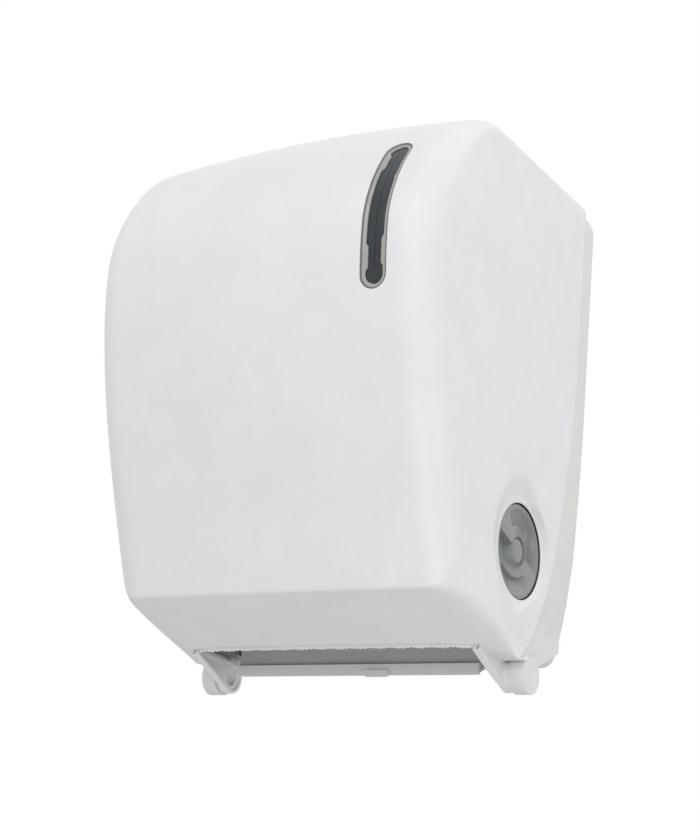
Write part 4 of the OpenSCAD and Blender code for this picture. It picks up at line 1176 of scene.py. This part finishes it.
def build_cheek(side, name):
    """Walls of the housing beside the arm and under the cover's rear edge, above the barrel; the wall beside
    the arm takes the darker frame grey instead of the housing's off-white, as painted shade of the gap.
    """
    wall = mirrored(x_prism(CHEEK, *CHEEK_X), side)
    # Frame grey here, not the housing's off-white: painted shade in the gap beside the arm.
    cheek = add_piece("cheek_" + name, *wall, "housing", FRAME_GREY, "frame_grey")
    soften(cheek, CHEEK_EDGE)
    outline = [p + PLATE_AHEAD for p in corner_curve()]
    outline += [HINGE_AT + PLATE_CLEAR_R * along(a) for a in PLATE_CLEAR_TURNS]
    outline += [HINGE_AT + PLATE_LOW_R * along(a) for a in PLATE_LOW_TURNS]
    plate = mirrored(x_prism(outline + PLATE_REST, *PLATE_X), side)
    add_piece("corner_" + name, *plate, "housing", OFF_WHITE, "housing_white")


# Solids that keep their shape: soft edges and a finish each

BEVEL_SEGMENTS = 2
BEVEL_ANGLE = 40
BEVEL_WELD = 1e-6

# Finish of each solid and the width of its soft edges
FINISHES = {
    "rear_housing": (OFF_WHITE, 0.7), "lip_plug": (OFF_WHITE, 0.6), "chute_plate": (CHUTE, 0.4),
    "side_frame_left": (FRAME_GREY, 0.4), "side_frame_right": (FRAME_GREY, 0.4),
    "pinch_yoke": (FRAME_GREY, 0.4), "holder_bracket": (FRAME_GREY, 0.4),
    "roll_arm_left": (FRAME_GREY, 0.5), "roll_arm_right": (FRAME_GREY, 0.5),
    "roll_hub_left": (FRAME_GREY, 0.5), "roll_hub_right": (FRAME_GREY, 0.5),
    "lock_keeper": (FRAME_GREY, 0.4), "knife_bar": (DRUM_GREY, 0.3),
    "drum_shell_front": (DRUM_GREY, 0.4), "drum_shell_rear": (DRUM_GREY, 0.4),
    "drum_bush_left": (BUSH_BLACK, 0.3), "drum_bush_right": (BUSH_BLACK, 0.3),
    "axle_ring": (BUSH_BLACK, 0.3), "lock_sleeve": (PLATE, 0.3), "lock_barrel": (PLATE, 0.3),
    "grip_bands": (RUBBER, 0.25), "pinch_sleeve": (RUBBER, 0.5),
    "frame_screws": (STEEL, 0.2), "tie_bar": (STEEL, 0.4), "yoke_pins": (STEEL, 0.3),
    "hub_pin_left": (STEEL, 0.4), "hub_pin_right": (STEEL, 0.4), "holder_pin": (STEEL, 0.3),
    "holder_screws": (STEEL, 0.2), "lock_cam": (STEEL, 0.3), "drum_axle": (STEEL, 0.5),
    "knob_screw": (STEEL, 0.3), "knife_blade": (STEEL, 0.0), "pinch_shaft": (STEEL, 0.4),
}


def soften(piece, width):
    """Rounds the edges that are sharper than a fixed angle."""
    weld = piece.modifiers.new("weld", "WELD")
    weld.merge_threshold = BEVEL_WELD
    bevel = piece.modifiers.new("edges", "BEVEL")
    bevel.width = width * MM
    bevel.segments = BEVEL_SEGMENTS
    bevel.limit_method = "ANGLE"
    bevel.angle_limit = math.radians(BEVEL_ANGLE)


def dress(name, material, width):
    piece = nodes[name]
    piece.data.materials.clear()
    piece.data.materials.append(material)
    soften(piece, width)


# Camera, light and floor, in metres

FLOOR_Z = -0.9
FLOOR_HALF = 6.0
FLOOR_ROUGH = 0.8
FLOOR_DARK = (0.62, 0.62, 0.62)
FLOOR_PALE = (0.66, 0.66, 0.66)
WORLD_LOW = 0.40
WORLD_HIGH = 0.87
PLAIN_WHITE = (1.0, 1.0, 1.0, 1.0)
MIDDLE = (0.0, -0.15, 0.0)
EXIT = (0.08, -0.08, -0.18)
# Name, place, aim, size and power of each lamp
LAMPS = [
    ("key", (1.1, -2.0, 1.0), MIDDLE, 1.4, 8.0),
    ("front", (-0.3, -2.0, 1.1), MIDDLE, 0.7, 3.4),
    ("low", (0.55, -1.05, -0.66), EXIT, 0.5, 1.9),
    ("right", (2.0, -0.6, 0.2), MIDDLE, 1.5, 3.2),
    ("back", (0.9, 0.6, 1.2), MIDDLE, 1.2, 3.0),
]


def build_camera():
    a, e, r = (math.radians(v) for v in (CAMERA_AZIMUTH, CAMERA_UP, CAMERA_ROLL))
    ahead = Vector((-math.sin(a) * math.cos(e), math.cos(a) * math.cos(e), math.sin(e)))
    level = ahead.cross(Vector((0, 0, 1))).normalized()
    down = ahead.cross(level)
    right = math.cos(r) * level - math.sin(r) * down
    below = math.sin(r) * level + math.cos(r) * down
    data = bpy.data.cameras.new("camera")
    data.sensor_width = SENSOR
    data.lens = FOCAL_PIXELS * SENSOR / PHOTO_LONG_SIDE
    camera = linked("camera", data)
    turn = Matrix((right, -below, -ahead)).transposed().to_4x4()
    camera.matrix_world = Matrix.Translation(CAMERA_AT) @ turn
    scene.camera = camera


def build_floor():
    material, tree, shader = new_material("pale_floor")
    tint(tree, shader, noise(tree, 8.0, detail=4.0), [(0.3, FLOOR_DARK), (0.7, FLOOR_PALE)])
    shader.inputs["Roughness"].default_value = FLOOR_ROUGH
    h = FLOOR_HALF
    corners = [(-h, -h, FLOOR_Z), (h, -h, FLOOR_Z), (h, h, FLOOR_Z), (-h, h, FLOOR_Z)]
    mesh = bpy.data.meshes.new("floor")
    mesh.from_pydata(corners, [], [(0, 1, 2, 3)])
    mesh.materials.append(material)
    floor = linked("floor", mesh)


def build_world():
    """Soft light that grows from below to above, and plain white where it is looked at."""
    world = bpy.data.worlds.new("studio")
    world.use_nodes = True
    scene.world = world
    tree = world.node_tree
    light = tree.nodes["Background"]
    light.inputs["Color"].default_value = PLAIN_WHITE
    white = node(tree, "ShaderNodeBackground", Color=PLAIN_WHITE, Strength=1.0)
    axes = tree.nodes.new("ShaderNodeSeparateXYZ")
    tree.links.new(tree.nodes.new("ShaderNodeTexCoord").outputs["Generated"], axes.inputs["Vector"])
    level = spread(tree, axes.outputs["Z"], WORLD_LOW, WORLD_HIGH, start=-1.0, end=1.0)
    tree.links.new(level, light.inputs["Strength"])
    path = tree.nodes.new("ShaderNodeLightPath")
    seen = path.outputs["Is Camera Ray"]
    for kind in ("Is Glossy Ray", "Is Transmission Ray"):
        either = tree.nodes.new("ShaderNodeMath")
        either.operation = "MAXIMUM"
        tree.links.new(seen, either.inputs[0])
        tree.links.new(path.outputs[kind], either.inputs[1])
        seen = either.outputs["Value"]
    mixer = tree.nodes.new("ShaderNodeMixShader")
    tree.links.new(seen, mixer.inputs["Fac"])
    tree.links.new(light.outputs["Background"], mixer.inputs[1])
    tree.links.new(white.outputs["Background"], mixer.inputs[2])
    tree.links.new(mixer.outputs["Shader"], tree.nodes["World Output"].inputs["Surface"])


def add_lamp(name, at, aim, size, power):
    data = bpy.data.lights.new(name, "AREA")
    data.shape = "DISK"
    data.size = size
    data.energy = power
    lamp = linked(name, data)
    lamp.location = at
    lamp.rotation_euler = (Vector(aim) - Vector(at)).to_track_quat("-Z", "Y").to_euler()


build_cover()
build_knob_rim()
build_window()
build_knob()
build_tear_strip()
for side, name in ((1, "right"), (-1, "left")):
    build_arm(side, name)
    build_skirt(side, name)
    build_cheek(side, name)
    build_spring(side, name)
build_pins()
for name, (material, width) in FINISHES.items():
    dress(name, material, width)
build_camera()
build_floor()
build_world()
for lamp in LAMPS:
    add_lamp(*lamp)
scene.view_settings.view_transform = "Standard"
